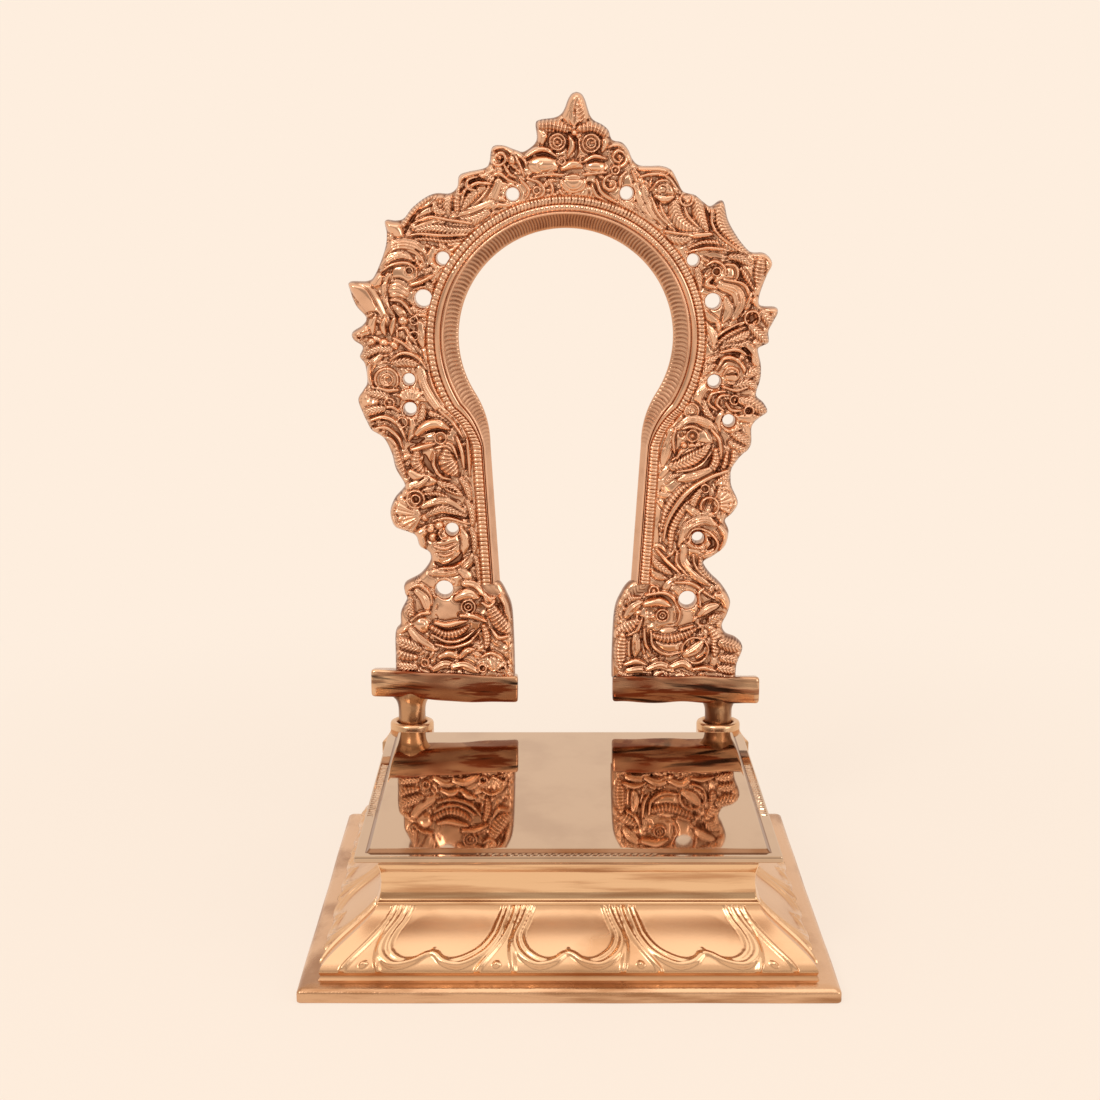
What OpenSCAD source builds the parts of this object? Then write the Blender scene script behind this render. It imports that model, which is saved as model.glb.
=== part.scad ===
// Prabhavali: a cast bronze halo arch that plugs into the back of a square stepped pedestal.
// Millimetres, +Z up, origin on the ground under the middle of the foot, front towards -Y.

/* [Pedestal foot and lotus course] */
// Side of the square foot flange
foot_side = 118; // [104:1:140]
// Height of the foot flange
foot_h = 3.5; // [2.5:0.1:6]
// Chamfer on the upper edge of the foot flange
foot_edge = 1.1; // [0.5:0.1:1.6]
// Ledge left on the flange outside the lotus course
foot_ledge = 4.6; // [2:0.1:8]
// Height of the upright lip under the lotus course
lip_h = 2; // [1:0.1:4]
// Height of the sloping lotus course
lotus_h = 10.8; // [8:0.1:14]
// How far the lotus course draws in from lip to neck
lotus_in = 12; // [8:0.5:15]
// Lotus petals along each side
petals_per_side = 3; // [2:1:4]
// Height of the petal outlines above the lotus slope, measured level
petal_raise = 1; // [0.6:0.1:1.6]
// Width of a petal outline
strand_w = 1.1; // [0.8:0.1:1.6]

/* [Pedestal neck and seat] */
// Height of the hollowed neck
neck_h = 9.4; // [6:0.1:14]
// Depth of the hollow in the neck's faces
neck_hollow = 0.8; // [0.4:0.1:1.6]
// Height of the cove under the seat slab
cove_h = 2; // [1:0.1:4]
// Overhang of the seat slab beyond the neck
slab_over = 4.7; // [3:0.1:7]
// Thickness of the slab's edge
slab_edge = 1.4; // [1:0.1:3]
// Width of the border strip round the seat field
border_w = 2.6; // [1.5:0.1:5]
// Height of the raised seat field above the border
field_rise = 1.1; // [0.6:0.1:2]
// Bevel on the edge of the raised seat field
field_bevel = 0.6; // [0.3:0.1:1]
// Wall of the hollow casting
wall = 3; // [2:0.1:4]

/* [Sockets, pegs and foot bars] */
// Outer diameter of a socket boss
boss_d = 11.6; // [11:0.1:14]
// Bore of a socket
bore_d = 8; // [7:0.1:9]
// How far a boss stands above the seat field
boss_rise = 0.8; // [0.4:0.1:6]
// Depth of a socket's bore
bore_depth = 11.5; // [9:0.1:13]
// Metal left under a bore
boss_floor = 2; // [1.5:0.1:4]
// Inset of a socket's axis from the side of the slab
boss_inset = 6.1; // [5:0.1:9]
// Set of a socket's axis behind the back edge of the slab
boss_back = 6.4; // [6:0.1:8]
// Clearance round a peg, all round
peg_gap = 0.4; // [0.3:0.05:0.6]
// Gap between a boss and the bar above it
bar_gap = 5.7; // [3.5:0.1:8]
// Height of the flare where a peg meets its bar
flare_h = 2.6; // [1.5:0.1:3]
// How far the flare widens a peg, all round
flare_out = 1.3; // [0.5:0.1:2]
// Height of a foot bar
bar_h = 7.5; // [5:0.1:10]
// Depth of a foot bar, front to back
bar_w = 8; // [7:0.1:12]
// Rounding of a foot bar's long edges
bar_round = 1.2; // [0.5:0.1:2]
// How far a bar runs past its peg's axis
bar_past = 10.5; // [6:0.5:14]

/* [Arch] */
// Radius of the round head of the opening
head_r = 27.8; // [25:0.1:32]
// Height of the head's centre above the foot bars
head_rise = 89.3; // [80:0.1:100]
// Half width of the opening where the limbs leave the head
leg_half = 19.7; // [17:0.1:22]
// How far each limb leans in towards its foot
leg_lean = 2.3; // [0:0.1:3]
// Radius of the curve that joins a limb to the head
waist_r = 25; // [18:1:30]
// Height of a foot block
block_h = 24.8; // [20:0.1:30]
// Half width of the opening between the foot blocks
block_half = 12.6; // [10:0.1:15]
// Width of a foot block
block_w = 32; // [28:0.5:36]
// Thickness of the arch plate
plate_t = 4; // [3:0.1:6]
// Width of the plate beyond the opening at the crown
rim_top = 18.5; // [16:0.5:20]
// Width of the plate beyond the opening at the sides of the head
rim_side = 22.5; // [21:0.5:26]
// Width of the plate beyond the opening at the waist, below the head
rim_waist = 26; // [24:0.5:28]
// Width of a limb's plate beyond the opening, at its foot
rim_leg = 17.5; // [16:0.5:21]

/* [Arch ornament] */
// Height of the relief on the face of the plate
relief_h = 2.6; // [1.5:0.1:3.5]
// Width of the sloping reveal round the head
reveal_head = 4.6; // [3:0.1:5]
// Width of the sloping reveal along the limbs
reveal_leg = 2.6; // [2:0.1:4]
// Thickness of the reveal at the edge of the opening
reveal_edge = 1.2; // [0.8:0.1:2]
// Width of the plain ridge outside the reveal
ridge_w = 0.9; // [0.6:0.1:1.2]
// Height of the plain ridge
ridge_h = 1.2; // [0.6:0.1:2]
// Diameter of a bead in the bead row
bead_d = 1.6; // [1.2:0.1:1.8]
// Pitch of the bead row
bead_pitch = 2.2; // [2:0.1:3]
// Width of the strand that a scroll is rolled from
scroll_w = 1.5; // [1:0.1:2]
// Distance of the crest mask's middle beyond the opening
crest_out = 19; // [18:0.5:22]
// Lean of the crest mask off the middle, degrees
crest_lean = 2; // [0:0.5:4]

/* [Hidden] */
$fn = 48;
ARC_STEPS = 8;
HEAD_STEPS = 24;
LOTUS_STEPS = 6;

// Pedestal courses, as half sides and heights
foot_half = foot_side / 2;
lip_half = foot_half - foot_ledge;
neck_half = lip_half - lotus_in;
slab_half = neck_half + slab_over;
field_half = slab_half - border_w;
lip_z = foot_h + lip_h;
lotus_z = lip_z + lotus_h;
neck_z = lotus_z + neck_h;
cove_z = neck_z + cove_h;
slab_z = cove_z + slab_edge;
seat_z = slab_z + field_rise;

// Sockets and pegs
boss_x = slab_half - boss_inset;
boss_y = slab_half + boss_back;
boss_z = seat_z + boss_rise;
bore_z = boss_z - bore_depth;
peg_r = bore_d / 2 - peg_gap;
bar_z = boss_z + bar_gap;
bar_top = bar_z + bar_h;

// The arch stands over the sockets, so that its plate is carried on the middle of the bars
plate_y = boss_y - plate_t / 2 + 0.5;
head_z = bar_top + head_rise;
leg_z = bar_top + block_h;
curve_x = leg_half + waist_r;
curve_drop = sqrt(pow(head_r + waist_r, 2) - pow(curve_x, 2));
curve_z = head_z - curve_drop;
waist_a = atan2(curve_drop, curve_x);
ridge_out = ridge_w + 0.1;
bead_in = ridge_out + bead_d / 2 + 0.2;

// Rim of the head: [angle, distance of the centre beyond the opening, radius]
HEAD_LOBES = [[203, 25.5, 5], [197, 25.5, 3], [187, 22.5, 3.6], [180, 24.5, 2.8], [140, 18.5, 6.2],
    [122, 17, 5.2], [109, 19, 4.6], [74, 19, 4.6], [58, 17.5, 5.4], [45, 18, 4], [20, 24.5, 3.6],
    [0, 22, 2.6], [-12, 19, 5], [-30, 25.5, 2.8]];
// Leaf tips on the rim of the head: [angle, distance, lean off the radius, length, width]
HEAD_TIPS = [[168, 20, -34, 12, 7], [148, 19, 0, 8.5, 5], [123, 17, 0, 7, 5], [112, 18, 0, 7, 6],
    [41, 17, 24, 9, 6], [8, 19, 22, 9, 6], [-19, 21, 18, 7, 6]];
// Rim of a limb: [side, height above the foot block, distance, radius]
LEG_LOBES = [[-1, 19, 23, 5.2], [-1, 12, 18, 4], [1, 12, 19, 5.2], [1, 31, 22, 3.4]];
LEG_TIPS = [[1, 20.5, 20, 0, 7, 7]];
// Rim of the foot blocks: [side, height above the bars, distance in from the block's outer end, radius]
BLOCK_LOBES = [[-1, 21.5, 3.5, 4], [1, 19, 5, 4], [1, 7.5, 1.5, 3]];
// Holes pierced through the plate: head [angle, distance, radius], limb [side, height, distance, radius]
HEAD_HOLES = [[111, 11.2, 1.6], [148, 10, 1.5], [165, 10.7, 2.1], [194, 14.5, 1.4], [205, 16.8, 1.4],
    [67, 12, 1.5], [31, 10.4, 1.4], [14, 11, 1.9], [-16, 12.2, 1.5], [-27, 19.5, 1.4]];
LEG_HOLES = [[-1, 14, 12, 1.4], [-1, -2, 15.5, 2.1], [1, 12, 16.5, 1.4], [1, -5, 16, 2.1]];
// Scroll roundels: the same forms
HEAD_SCROLLS = [[203, 25.2, 4], [192, 20.5, 3.4], [180, 20, 3], [157, 16, 5], [140, 18.2, 4.6],
    [122, 16.6, 4.4], [58, 16.8, 4.4], [45, 16.2, 2.8], [23, 14.8, 4.2], [0, 17, 3], [-12, 18, 3.8]];
LEG_SCROLLS = [[-1, 19.5, 21.5, 4], [-1, 9, 14, 2.6], [1, 12, 21.5, 2.4], [1, 20, 17, 3]];

// Half width of the opening along the lower limb, by height above the foot block
function leg_line(h) = leg_half - leg_lean * (1 - min(1, h / (curve_z - leg_z)));
// A place on the head, by angle and distance beyond the opening
function head_pt(a, d) = [(head_r + d) * cos(a), head_z + (head_r + d) * sin(a)];
// A place on a limb, by side, height above the foot block and distance beyond the opening
function leg_pt(side, h, d) = [side * (leg_line(h) + d), leg_z + h];
// A place on a foot block, by side, height above the bars and distance in from the outer end
function block_pt(side, h, d) = [side * (block_half + block_w - d), bar_top + h];

// Right half of the opening's edge set outward: by dl along the limb and dh round the head
function half_edge(dl, dh) = concat(
    [[leg_line(0) + dl, leg_z]],
    [for (i = [0 : ARC_STEPS])
        let (k = i / ARC_STEPS, d = dl + (dh - dl) * k, a = 180 - waist_a * k)
        [curve_x + (waist_r - d) * cos(a), curve_z + (waist_r - d) * sin(a)]],
    [for (i = [1 : HEAD_STEPS])
        let (a = -waist_a + (90 + waist_a) * i / HEAD_STEPS)
        head_pt(a, dh)]);
// The whole edge, from the left foot over the crown to the right foot
function edge(dl, dh) = let (h = half_edge(dl, dh), n = len(h))
    concat([for (p = h) [-p[0], p[1]]], [for (i = [n - 2 : -1 : 0]) h[i]]);
function backwards(list) = [for (i = [len(list) - 1 : -1 : 0]) list[i]];
// An outline drawn for the right, turned over for the left and kept anticlockwise
function on_side(side, points) = side > 0 ? points : [for (p = backwards(points)) [-p[0], p[1]]];

// The plate's own inner edge lies outside the reveal
function plate_edge(out) = edge(reveal_leg + out, reveal_head + out);

// A place along the right half of the plate's inner edge set out by d, by the length run so far
function run_leg() = curve_z - leg_z;
function run_curve(d) = (waist_r - reveal_leg - d) * waist_a * PI / 180;
function run_head(d) = (head_r + reveal_head + d) * (90 + waist_a) * PI / 180;
function run_pt(s, d) =
    s < run_leg() ? leg_pt(1, s, reveal_leg + d)
    : s < run_leg() + run_curve(d)
    ? let (k = (s - run_leg()) / run_curve(d), a = 180 - waist_a * k,
        w = reveal_leg + (reveal_head - reveal_leg) * k + d)
        [curve_x + (waist_r - w) * cos(a), curve_z + (waist_r - w) * sin(a)]
    : head_pt(-waist_a + (s - run_leg() - run_curve(d)) / (head_r + reveal_head + d) * 180 / PI,
        reveal_head + d);

// Half outline of a leaf of unit length and width
LEAF_STEPS = 6;
function leaf_x(t) = sin(180 * pow(t, 0.8)) / 2;
function leaf_outline(length, width) = concat(
    [for (i = [0 : LEAF_STEPS]) [width * leaf_x(i / LEAF_STEPS), length * i / LEAF_STEPS]],
    [for (i = [LEAF_STEPS - 1 : -1 : 1]) [-width * leaf_x(i / LEAF_STEPS), length * i / LEAF_STEPS]]);

// Cubic curve between a and d
function cubic(a, b, c, d, t) = a * pow(1 - t, 3) + 3 * b * t * pow(1 - t, 2)
    + 3 * c * t * t * (1 - t) + d * pow(t, 3);

// A square course: a solid whose half side follows [half, z] points from bottom to top
module square_course(profile) {
    reach = max([for (p = profile) p[0]]) + 1;
    outline = concat(profile, [for (p = backwards(profile)) [-p[0], p[1]]]);
    intersection() {
        rotate([90, 0, 0]) linear_extrude(2 * reach, center = true) polygon(outline);
        rotate([0, 0, 90]) rotate([90, 0, 0]) linear_extrude(2 * reach, center = true) polygon(outline);
    }
}

// A square core of a given half side between two heights
module square_core(half, z0, z1) {
    translate([-half, -half, z0]) cube([2 * half, 2 * half, z1 - z0]);
}

module foot_flange() {
    color("peru") difference() {
        square_course([[foot_half, 0], [foot_half, foot_h - foot_edge], [foot_half - foot_edge, foot_h]]);
        square_core(lip_half - wall, -1, foot_h + 1);
    }
}

// Half side of the lotus course: a drooping S from lip to neck
function lotus_draw(u) = 0.75 * u * u * (3 - 2 * u) + 0.25 * u;
function lotus_profile(out) = concat([[lip_half + out, foot_h]],
    [for (i = [0 : LOTUS_STEPS])
        let (u = i / LOTUS_STEPS)
        [lip_half - lotus_in * lotus_draw(u) + out, lip_z + lotus_h * u]]);

module lotus_tier() {
    color("sandybrown") difference() {
        square_course(lotus_profile(0));
        translate([0, 0, -0.01]) square_course(lotus_profile(-wall));
        square_core(neck_half - wall, lotus_z - 1, lotus_z + 1);
    }
}

// One lotus petal in elevation: an upturned heart, wide at the foot, with a cusp in its lower edge
petal_pitch = 2 * neck_half / petals_per_side;
PETAL_STEPS = 5;
function petal_half(inset) = let (w = petal_pitch / 2, h = lotus_h, k = inset) concat(
    [for (i = [0 : PETAL_STEPS])
        cubic([0, 0.34 * h + k], [0.12 * w, 0.32 * h + k],
            [0.2 * w, 0.12 * h + k], [0.45 * w, 0.1 * h + k], i / PETAL_STEPS)],
    [for (i = [1 : PETAL_STEPS])
        cubic([0.45 * w, 0.1 * h + k], [0.96 * w - k, 0.06 * h + k],
            [0.96 * w - k, 0.6 * h], [0.7 * w - k, 0.95 * h], i / PETAL_STEPS)]);
function petal_outline(inset) = let (h = petal_half(inset))
    concat(h, [for (i = [len(h) - 1 : -1 : 1]) [-h[i][0], h[i][1]]]);
// One strand of the fan between two petals, from the neck down and outwards
function fan_side(w) = [for (i = [0 : PETAL_STEPS])
    cubic([0.02 * petal_pitch + w, 0.95 * lotus_h], [0.02 * petal_pitch + w, 0.5 * lotus_h],
        [0.07 * petal_pitch + w, 0.3 * lotus_h], [0.16 * petal_pitch + w, 0.04 * lotus_h], i / PETAL_STEPS)];

module petal_face() {
    for (i = [0 : petals_per_side - 1])
        translate([(i - (petals_per_side - 1) / 2) * petal_pitch, 0])
            difference() {
                polygon(petal_outline(0));
                polygon(petal_outline(strand_w));
            }
    for (i = [1 : petals_per_side - 1], m = [0, 1])
        translate([(i - petals_per_side / 2) * petal_pitch, 0])
            mirror([m, 0]) polygon(concat(fan_side(0), backwards(fan_side(strand_w))));
}

module lotus_petals(turn) {
    color("burlywood") rotate([0, 0, turn]) intersection() {
        translate([0, 0, lip_z]) rotate([90, 0, 0]) linear_extrude(lip_half + 2 * petal_raise) petal_face();
        difference() {
            square_course(lotus_profile(petal_raise));
            square_course(lotus_profile(0));
        }
    }
}
module lotus_petals_front() { lotus_petals(0); }
module lotus_petals_right() { lotus_petals(90); }
module lotus_petals_back() { lotus_petals(180); }
module lotus_petals_left() { lotus_petals(270); }

// A socket without its bore: a round boss behind the slab, on a lug that runs in under the border to the neck
lug_in = neck_half - wall / 2;
lug_up = field_half + 0.1;
module boss_body(side) {
    foot = bore_z - boss_floor;
    translate([side * boss_x, boss_y, foot]) cylinder(d = boss_d, h = bore_depth + boss_floor);
    translate([side * boss_x - boss_d / 2, 0, 0]) rotate([90, 0, 90]) linear_extrude(boss_d)
        polygon([[lug_in, foot], [boss_y, foot], [boss_y, slab_z], [lug_up, slab_z], [lug_up, neck_z],
            [lug_in, neck_z]]);
}
module boss_bodies() {
    for (side = [-1, 1]) boss_body(side);
}

module neck_tier() {
    color("burlywood") difference() {
        square_course([[neck_half, lotus_z], [neck_half, lotus_z + 0.15 * neck_h],
            [neck_half - neck_hollow, lotus_z + 0.5 * neck_h], [neck_half, lotus_z + neck_h]]);
        square_core(neck_half - wall, lotus_z - 1, neck_z + 1);
        boss_bodies();
    }
}

module seat_slab() {
    color("tan") difference() {
        square_course([[neck_half, neck_z], [neck_half + 0.3 * slab_over, neck_z + 0.75 * cove_h],
            [slab_half, cove_z], [slab_half, slab_z], [field_half, slab_z],
            [field_half - field_bevel, seat_z]]);
        boss_bodies();
    }
}

module socket(side) {
    color("tan") difference() {
        boss_body(side);
        translate([side * boss_x, boss_y, bore_z]) cylinder(d = bore_d, h = bore_depth + 1);
    }
}
module socket_left() { socket(-1); }
module socket_right() { socket(1); }

module peg(side) {
    color("saddlebrown") translate([side * boss_x, boss_y, 0]) {
        translate([0, 0, bore_z]) cylinder(r = peg_r, h = bar_z - bore_z);
        translate([0, 0, bar_z - flare_h]) cylinder(r1 = peg_r, r2 = peg_r + flare_out, h = flare_h);
    }
}
module peg_left() { peg(-1); }
module peg_right() { peg(1); }

// A rectangle with rounded corners, from its lower left corner
ROUND_STEPS = 4;
function rounded(w, h, r) = [for (q = [0 : 3], i = [0 : ROUND_STEPS])
    let (a = q * 90 + i * 90 / ROUND_STEPS, cx = (q == 0 || q == 3) ? w - r : r, cy = q < 2 ? h - r : r)
    [cx + r * cos(a), cy + r * sin(a)]];

module foot_bar(side) {
    bar_len = boss_x + bar_past - block_half;
    color("sienna") mirror([side < 0 ? 1 : 0, 0, 0])
        translate([block_half, boss_y - bar_w / 2, bar_z])
            rotate([90, 0, 90]) linear_extrude(bar_len) polygon(rounded(bar_w, bar_h, bar_round));
}
module foot_bar_left() { foot_bar(-1); }
module foot_bar_right() { foot_bar(1); }

// Draws on the arch: x across, y up, and the third way out of the front face
module on_face() {
    translate([0, plate_y, 0]) rotate([90, 0, 0]) children();
}
// Places with +y turned away from the opening
module at_head(a, d, lean = 0) {
    translate(head_pt(a, d)) rotate(a - 90 + lean) children();
}
module at_leg(side, h, d, lean = 0) {
    translate(leg_pt(side, h, d)) rotate(-90 * side + lean) children();
}

// Width of the plate round the head: narrow at the crown, full at the sides, fuller at the waist
function rim(a) = sin(a) > 0 ? rim_top + (rim_side - rim_top) * pow(cos(a), 2)
    : rim_side + (rim_waist - rim_side) * min(1, sin(a) / sin(-waist_a));
leg_foot_out = leg_line(0) + rim_leg;

module plate_outline() {
    rim_turn = waist_a + 5;
    head = [for (i = [0 : 2 * HEAD_STEPS])
        let (a = -rim_turn + (180 + 2 * rim_turn) * i / (2 * HEAD_STEPS)) head_pt(a, rim(a))];
    difference() {
        union() {
            polygon(head);
            for (side = [-1, 1])
                polygon(on_side(side, [[0, leg_z - 1], [leg_foot_out, leg_z - 1], [leg_foot_out, leg_z + 6],
                    [leg_foot_out + 2.5, leg_z + 15], leg_pt(1, run_leg() - 8, 24),
                    head_pt(-rim_turn, rim(-rim_turn)), [0, head_z]]));
            for (l = HEAD_LOBES) translate(head_pt(l[0], l[1])) circle(l[2]);
            for (t = HEAD_TIPS) at_head(t[0], t[1], t[2]) polygon(leaf_outline(t[3], t[4]));
            for (l = LEG_LOBES) translate(leg_pt(l[0], l[1], l[2])) circle(l[3]);
            for (t = LEG_TIPS) at_leg(t[0], t[1], t[2], t[3]) polygon(leaf_outline(t[4], t[5]));
            at_head(90 - crest_lean, crest_out) crest_outline();
        }
        polygon(plate_edge(0));
        translate([-leg_line(0) - reveal_leg, bar_top - 1])
            square([2 * (leg_line(0) + reveal_leg), block_h + 1]);
    }
    for (side = [-1, 1]) block_outline(side);
}

// The crest: a rounded brow with a pointed leaf above
module crest_outline() {
    circle(9.6);
    translate([0, 4]) polygon(leaf_outline(11, 10));
    for (side = [-1, 1]) translate([side * 6.5, 5]) circle(3);
}

// A foot block, with a shoulder that slopes up to the limb
module block_outline(side) {
    polygon(on_side(side, [[block_half, bar_top], [block_half + block_w, bar_top],
        [block_half + block_w, bar_top + 0.6 * block_h], [leg_foot_out, bar_top + block_h],
        [leg_line(0), bar_top + block_h], [leg_line(0) - 2, bar_top + 0.88 * block_h],
        [block_half + 0.6, bar_top + 0.65 * block_h]]));
    for (l = BLOCK_LOBES)
        if (l[0] == side) translate(block_pt(side, l[1], l[2])) circle(l[3]);
}

module arch_plate() {
    color("peru") on_face() translate([0, 0, -plate_t]) difference() {
        linear_extrude(plate_t) plate_outline();
        for (h = HEAD_HOLES)
            translate(concat(head_pt(h[0], h[1]), -1)) cylinder(r = h[2], h = plate_t + 2);
        for (h = LEG_HOLES)
            translate(concat(leg_pt(h[0], h[1], h[2]), -1)) cylinder(r = h[3], h = plate_t + 2);
    }
}

// The reveal: a wedge carried along the edge of the opening, thin at the opening and full at the plate
module inner_reveal() {
    inner = edge(0, 0);
    outer = plate_edge(0);
    n = len(inner);
    rings = [for (i = [0 : n - 1])
        [[inner[i][0], inner[i][1], -plate_t], [inner[i][0], inner[i][1], -plate_t + reveal_edge],
            [outer[i][0], outer[i][1], 0], [outer[i][0], outer[i][1], -plate_t]]];
    sides = [for (i = [0 : n - 2], j = [0 : 3], k = [0, 1])
        let (a = 4 * i + j, b = 4 * i + (j + 1) % 4)
        k == 0 ? [a, a + 4, b + 4] : [a, b + 4, b]];
    color("sienna") on_face()
        polyhedron([for (r = rings) each r],
            concat([[0, 1, 2, 3]], sides, [[4 * n - 1, 4 * n - 2, 4 * n - 3, 4 * n - 4]]));
}

module plain_ridge() {
    color("peru") on_face() linear_extrude(ridge_h)
        polygon(concat(plate_edge(0), backwards(plate_edge(ridge_w))));
}

module bead_row() {
    run = run_leg() + run_curve(bead_in) + run_head(bead_in);
    steps = floor(run / bead_pitch);
    color("burlywood") on_face()
        for (m = [0, 1], i = [0 : steps - 1])
            mirror([m, 0]) translate(run_pt((i + 0.5) * run / steps, bead_in))
                cylinder(d = bead_d, h = ridge_h);
}

// A low round boss of radius r and height h
module dome(r, h) {
    ball = (r * r + h * h) / (2 * h);
    intersection() {
        translate([0, 0, h - ball]) sphere(ball);
        cylinder(r = r + 1, h = h + 1);
    }
}
// A half round ring, r to the middle of its strand
module ring(r, w) {
    rotate_extrude() translate([r, 0]) intersection() {
        circle(w / 2);
        translate([-w / 2, 0]) square([w, w]);
    }
}
// A scroll roundel: a rolled strand round a boss
module scroll(r) {
    ring(r - scroll_w / 2, scroll_w);
    dome(r - 1.3 * scroll_w, relief_h * 0.8);
}
// A leaf with a raised midrib
module leaf(length, width) {
    linear_extrude(0.55 * relief_h) polygon(leaf_outline(length, width));
    linear_extrude(0.8 * relief_h) polygon(leaf_outline(0.9 * length, 0.3 * width));
}
// An eye: a ring with its ball
module eye(r) {
    ring(r, 0.35 * r);
    dome(0.6 * r, relief_h);
}

module scrolls(side) {
    color("burlywood") on_face() {
        for (s = HEAD_SCROLLS)
            if (side * cos(s[0]) > 0) translate(head_pt(s[0], s[1])) scroll(s[2]);
        for (s = LEG_SCROLLS)
            if (s[0] == side) translate(leg_pt(s[0], s[1], s[2])) scroll(s[3]);
    }
}
module scrolls_left() { scrolls(-1); }
module scrolls_right() { scrolls(1); }

// The leaf beside the bird's tail: down from the head of the limb, and beyond the opening
WAIST_LEAF = [9.4, 17.5];
module rim_leaves(side) {
    color("tan") on_face() {
        for (t = HEAD_TIPS)
            if (side * cos(t[0]) > 0 && abs(cos(t[0])) > 0.6)
                at_head(t[0], t[1] + 0.35 * t[3], t[2]) leaf(0.6 * t[3], 0.7 * t[4]);
        at_leg(side, run_leg() - WAIST_LEAF[0], WAIST_LEAF[1], 20 * side) leaf(6, 3.4);
        at_head(90 - side * 40, 9.8, side * 80) leaf(6, 2.4);
    }
}
module rim_leaves_left() { rim_leaves(-1); }
module rim_leaves_right() { rim_leaves(1); }

// Kirtimukha mask: leaf crown, brows, ringed eyes, nose, cheeks and muzzle
module crest_mask() {
    color("burlywood") on_face() at_head(90 - crest_lean, crest_out) {
        translate([0, 6]) leaf(8, 6);
        for (side = [-1, 1]) {
            translate([side * 1.2, 5]) rotate(-62 * side) leaf(7, 3);
            translate([side * 4, 1.2]) eye(1.9);
            translate([side * 6.2, -5]) dome(2.8, relief_h);
        }
        translate([0, -1.8]) dome(1.7, 1.2 * relief_h);
        translate([0, -7]) dome(3, relief_h);
    }
}

// Parrot: ringed head, hooked bill towards the opening, breast, folded wing and tail
PARROT_PLACE = [-36.7, 14.3];
module parrot(side) {
    color("burlywood") on_face() mirror([side < 0 ? 1 : 0, 0])
        translate(head_pt(PARROT_PLACE[0], PARROT_PLACE[1])) {
            eye(1.6);
            ring(2.6, 1);
            translate([-2.6, -0.8]) rotate(135) leaf(4, 2.4);
            translate([-1, -3]) rotate(178) leaf(12, 6.4);
            translate([4.6, -1]) rotate(160) leaf(11, 4);
        }
}
module parrot_left() { parrot(-1); }
module parrot_right() { parrot(1); }

// Yali: ringed eye under a brow, curled trunk, lips, a coiled tail round the hole, and leaves below
module yali(side) {
    color("burlywood") on_face() mirror([side < 0 ? 1 : 0, 0])
        translate([block_half, bar_top]) {
            translate([12.5, 16]) eye(2);
            translate([10.5, 19]) rotate(-80) leaf(5.5, 2.6);
            translate([5, 15.5]) ring(3, 1.6);
            translate([5, 8]) dome(3.2, relief_h);
            translate([14.5, 9.2]) dome(4.4, relief_h);
            translate([23.5, 9]) scroll(4);
            for (i = [0 : 3]) translate([4 + 7 * i, 2.4]) rotate(-90) leaf(6, 3.4);
        }
}
module yali_left() { yali(-1); }
module yali_right() { yali(1); }

foot_flange();
lotus_tier();
lotus_petals_front();
lotus_petals_right();
lotus_petals_back();
lotus_petals_left();
neck_tier();
seat_slab();
socket_left();
socket_right();
peg_left();
peg_right();
foot_bar_left();
foot_bar_right();
arch_plate();
inner_reveal();
plain_ridge();
bead_row();
crest_mask();
scrolls_left();
scrolls_right();
rim_leaves_left();
rim_leaves_right();
parrot_left();
parrot_right();
yali_left();
yali_right();
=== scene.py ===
import bpy
import numpy as np
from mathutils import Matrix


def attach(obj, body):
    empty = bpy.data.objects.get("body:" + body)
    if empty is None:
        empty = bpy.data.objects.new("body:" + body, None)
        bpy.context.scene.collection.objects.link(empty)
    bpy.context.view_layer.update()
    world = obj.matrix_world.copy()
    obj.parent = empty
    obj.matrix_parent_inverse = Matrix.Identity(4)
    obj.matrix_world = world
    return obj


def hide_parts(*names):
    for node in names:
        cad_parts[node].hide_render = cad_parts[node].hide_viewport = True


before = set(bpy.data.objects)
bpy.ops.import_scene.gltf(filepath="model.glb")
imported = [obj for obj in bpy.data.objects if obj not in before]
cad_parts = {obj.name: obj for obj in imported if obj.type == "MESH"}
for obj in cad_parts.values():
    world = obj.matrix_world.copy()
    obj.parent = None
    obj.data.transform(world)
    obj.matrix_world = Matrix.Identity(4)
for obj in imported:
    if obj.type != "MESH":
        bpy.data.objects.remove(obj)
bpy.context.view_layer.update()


# Foot flange: the square flange that the pedestal stands on, cast in one with the courses above.
# Bronze, its edge filed flat with a coarse file, its upper arris broken; a cove runs up to the lotus course.
MM = 0.001
FLANGE = [(51.4, 0.0), (59.0, 0.0), (59.0, 2.5), (58.2, 3.2), (56.4, 3.5), (51.4, 3.5)]
FLANGE_EASE, FLANGE_CORNER = 0.5, 0.9
# How far the filed edge wanders, and in waves of what length
FLANGE_OFF, FLANGE_WAVE = 0.16, 38
# Settings of a ramp that starts and ends softly
SOFT = {"interpolation_type": "SMOOTHSTEP"}


def linear(code):
    """sRGB hex to linear RGBA: c becomes c / 12.92 up to 0.04045, else ((c + 0.055) / 1.055) to the 2.4."""
    c = np.array([int(code[i:i + 2], 16) for i in (1, 3, 5)]) / 255
    return [*np.where(c <= 0.04045, c / 12.92, ((c + 0.055) / 1.055) ** 2.4), 1.0]


def add(tree, kind, settings, inputs):
    """Adds a node, sets its attributes and fills its inputs: a socket is linked, anything else is a value."""
    item = tree.nodes.new(kind)
    for name, value in settings.items():
        setattr(item, name, value)
    for key, value in inputs.items():
        if isinstance(value, bpy.types.NodeSocket):
            tree.links.new(value, item.inputs[key])
        else:
            item.inputs[key].default_value = value
    return item


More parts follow.
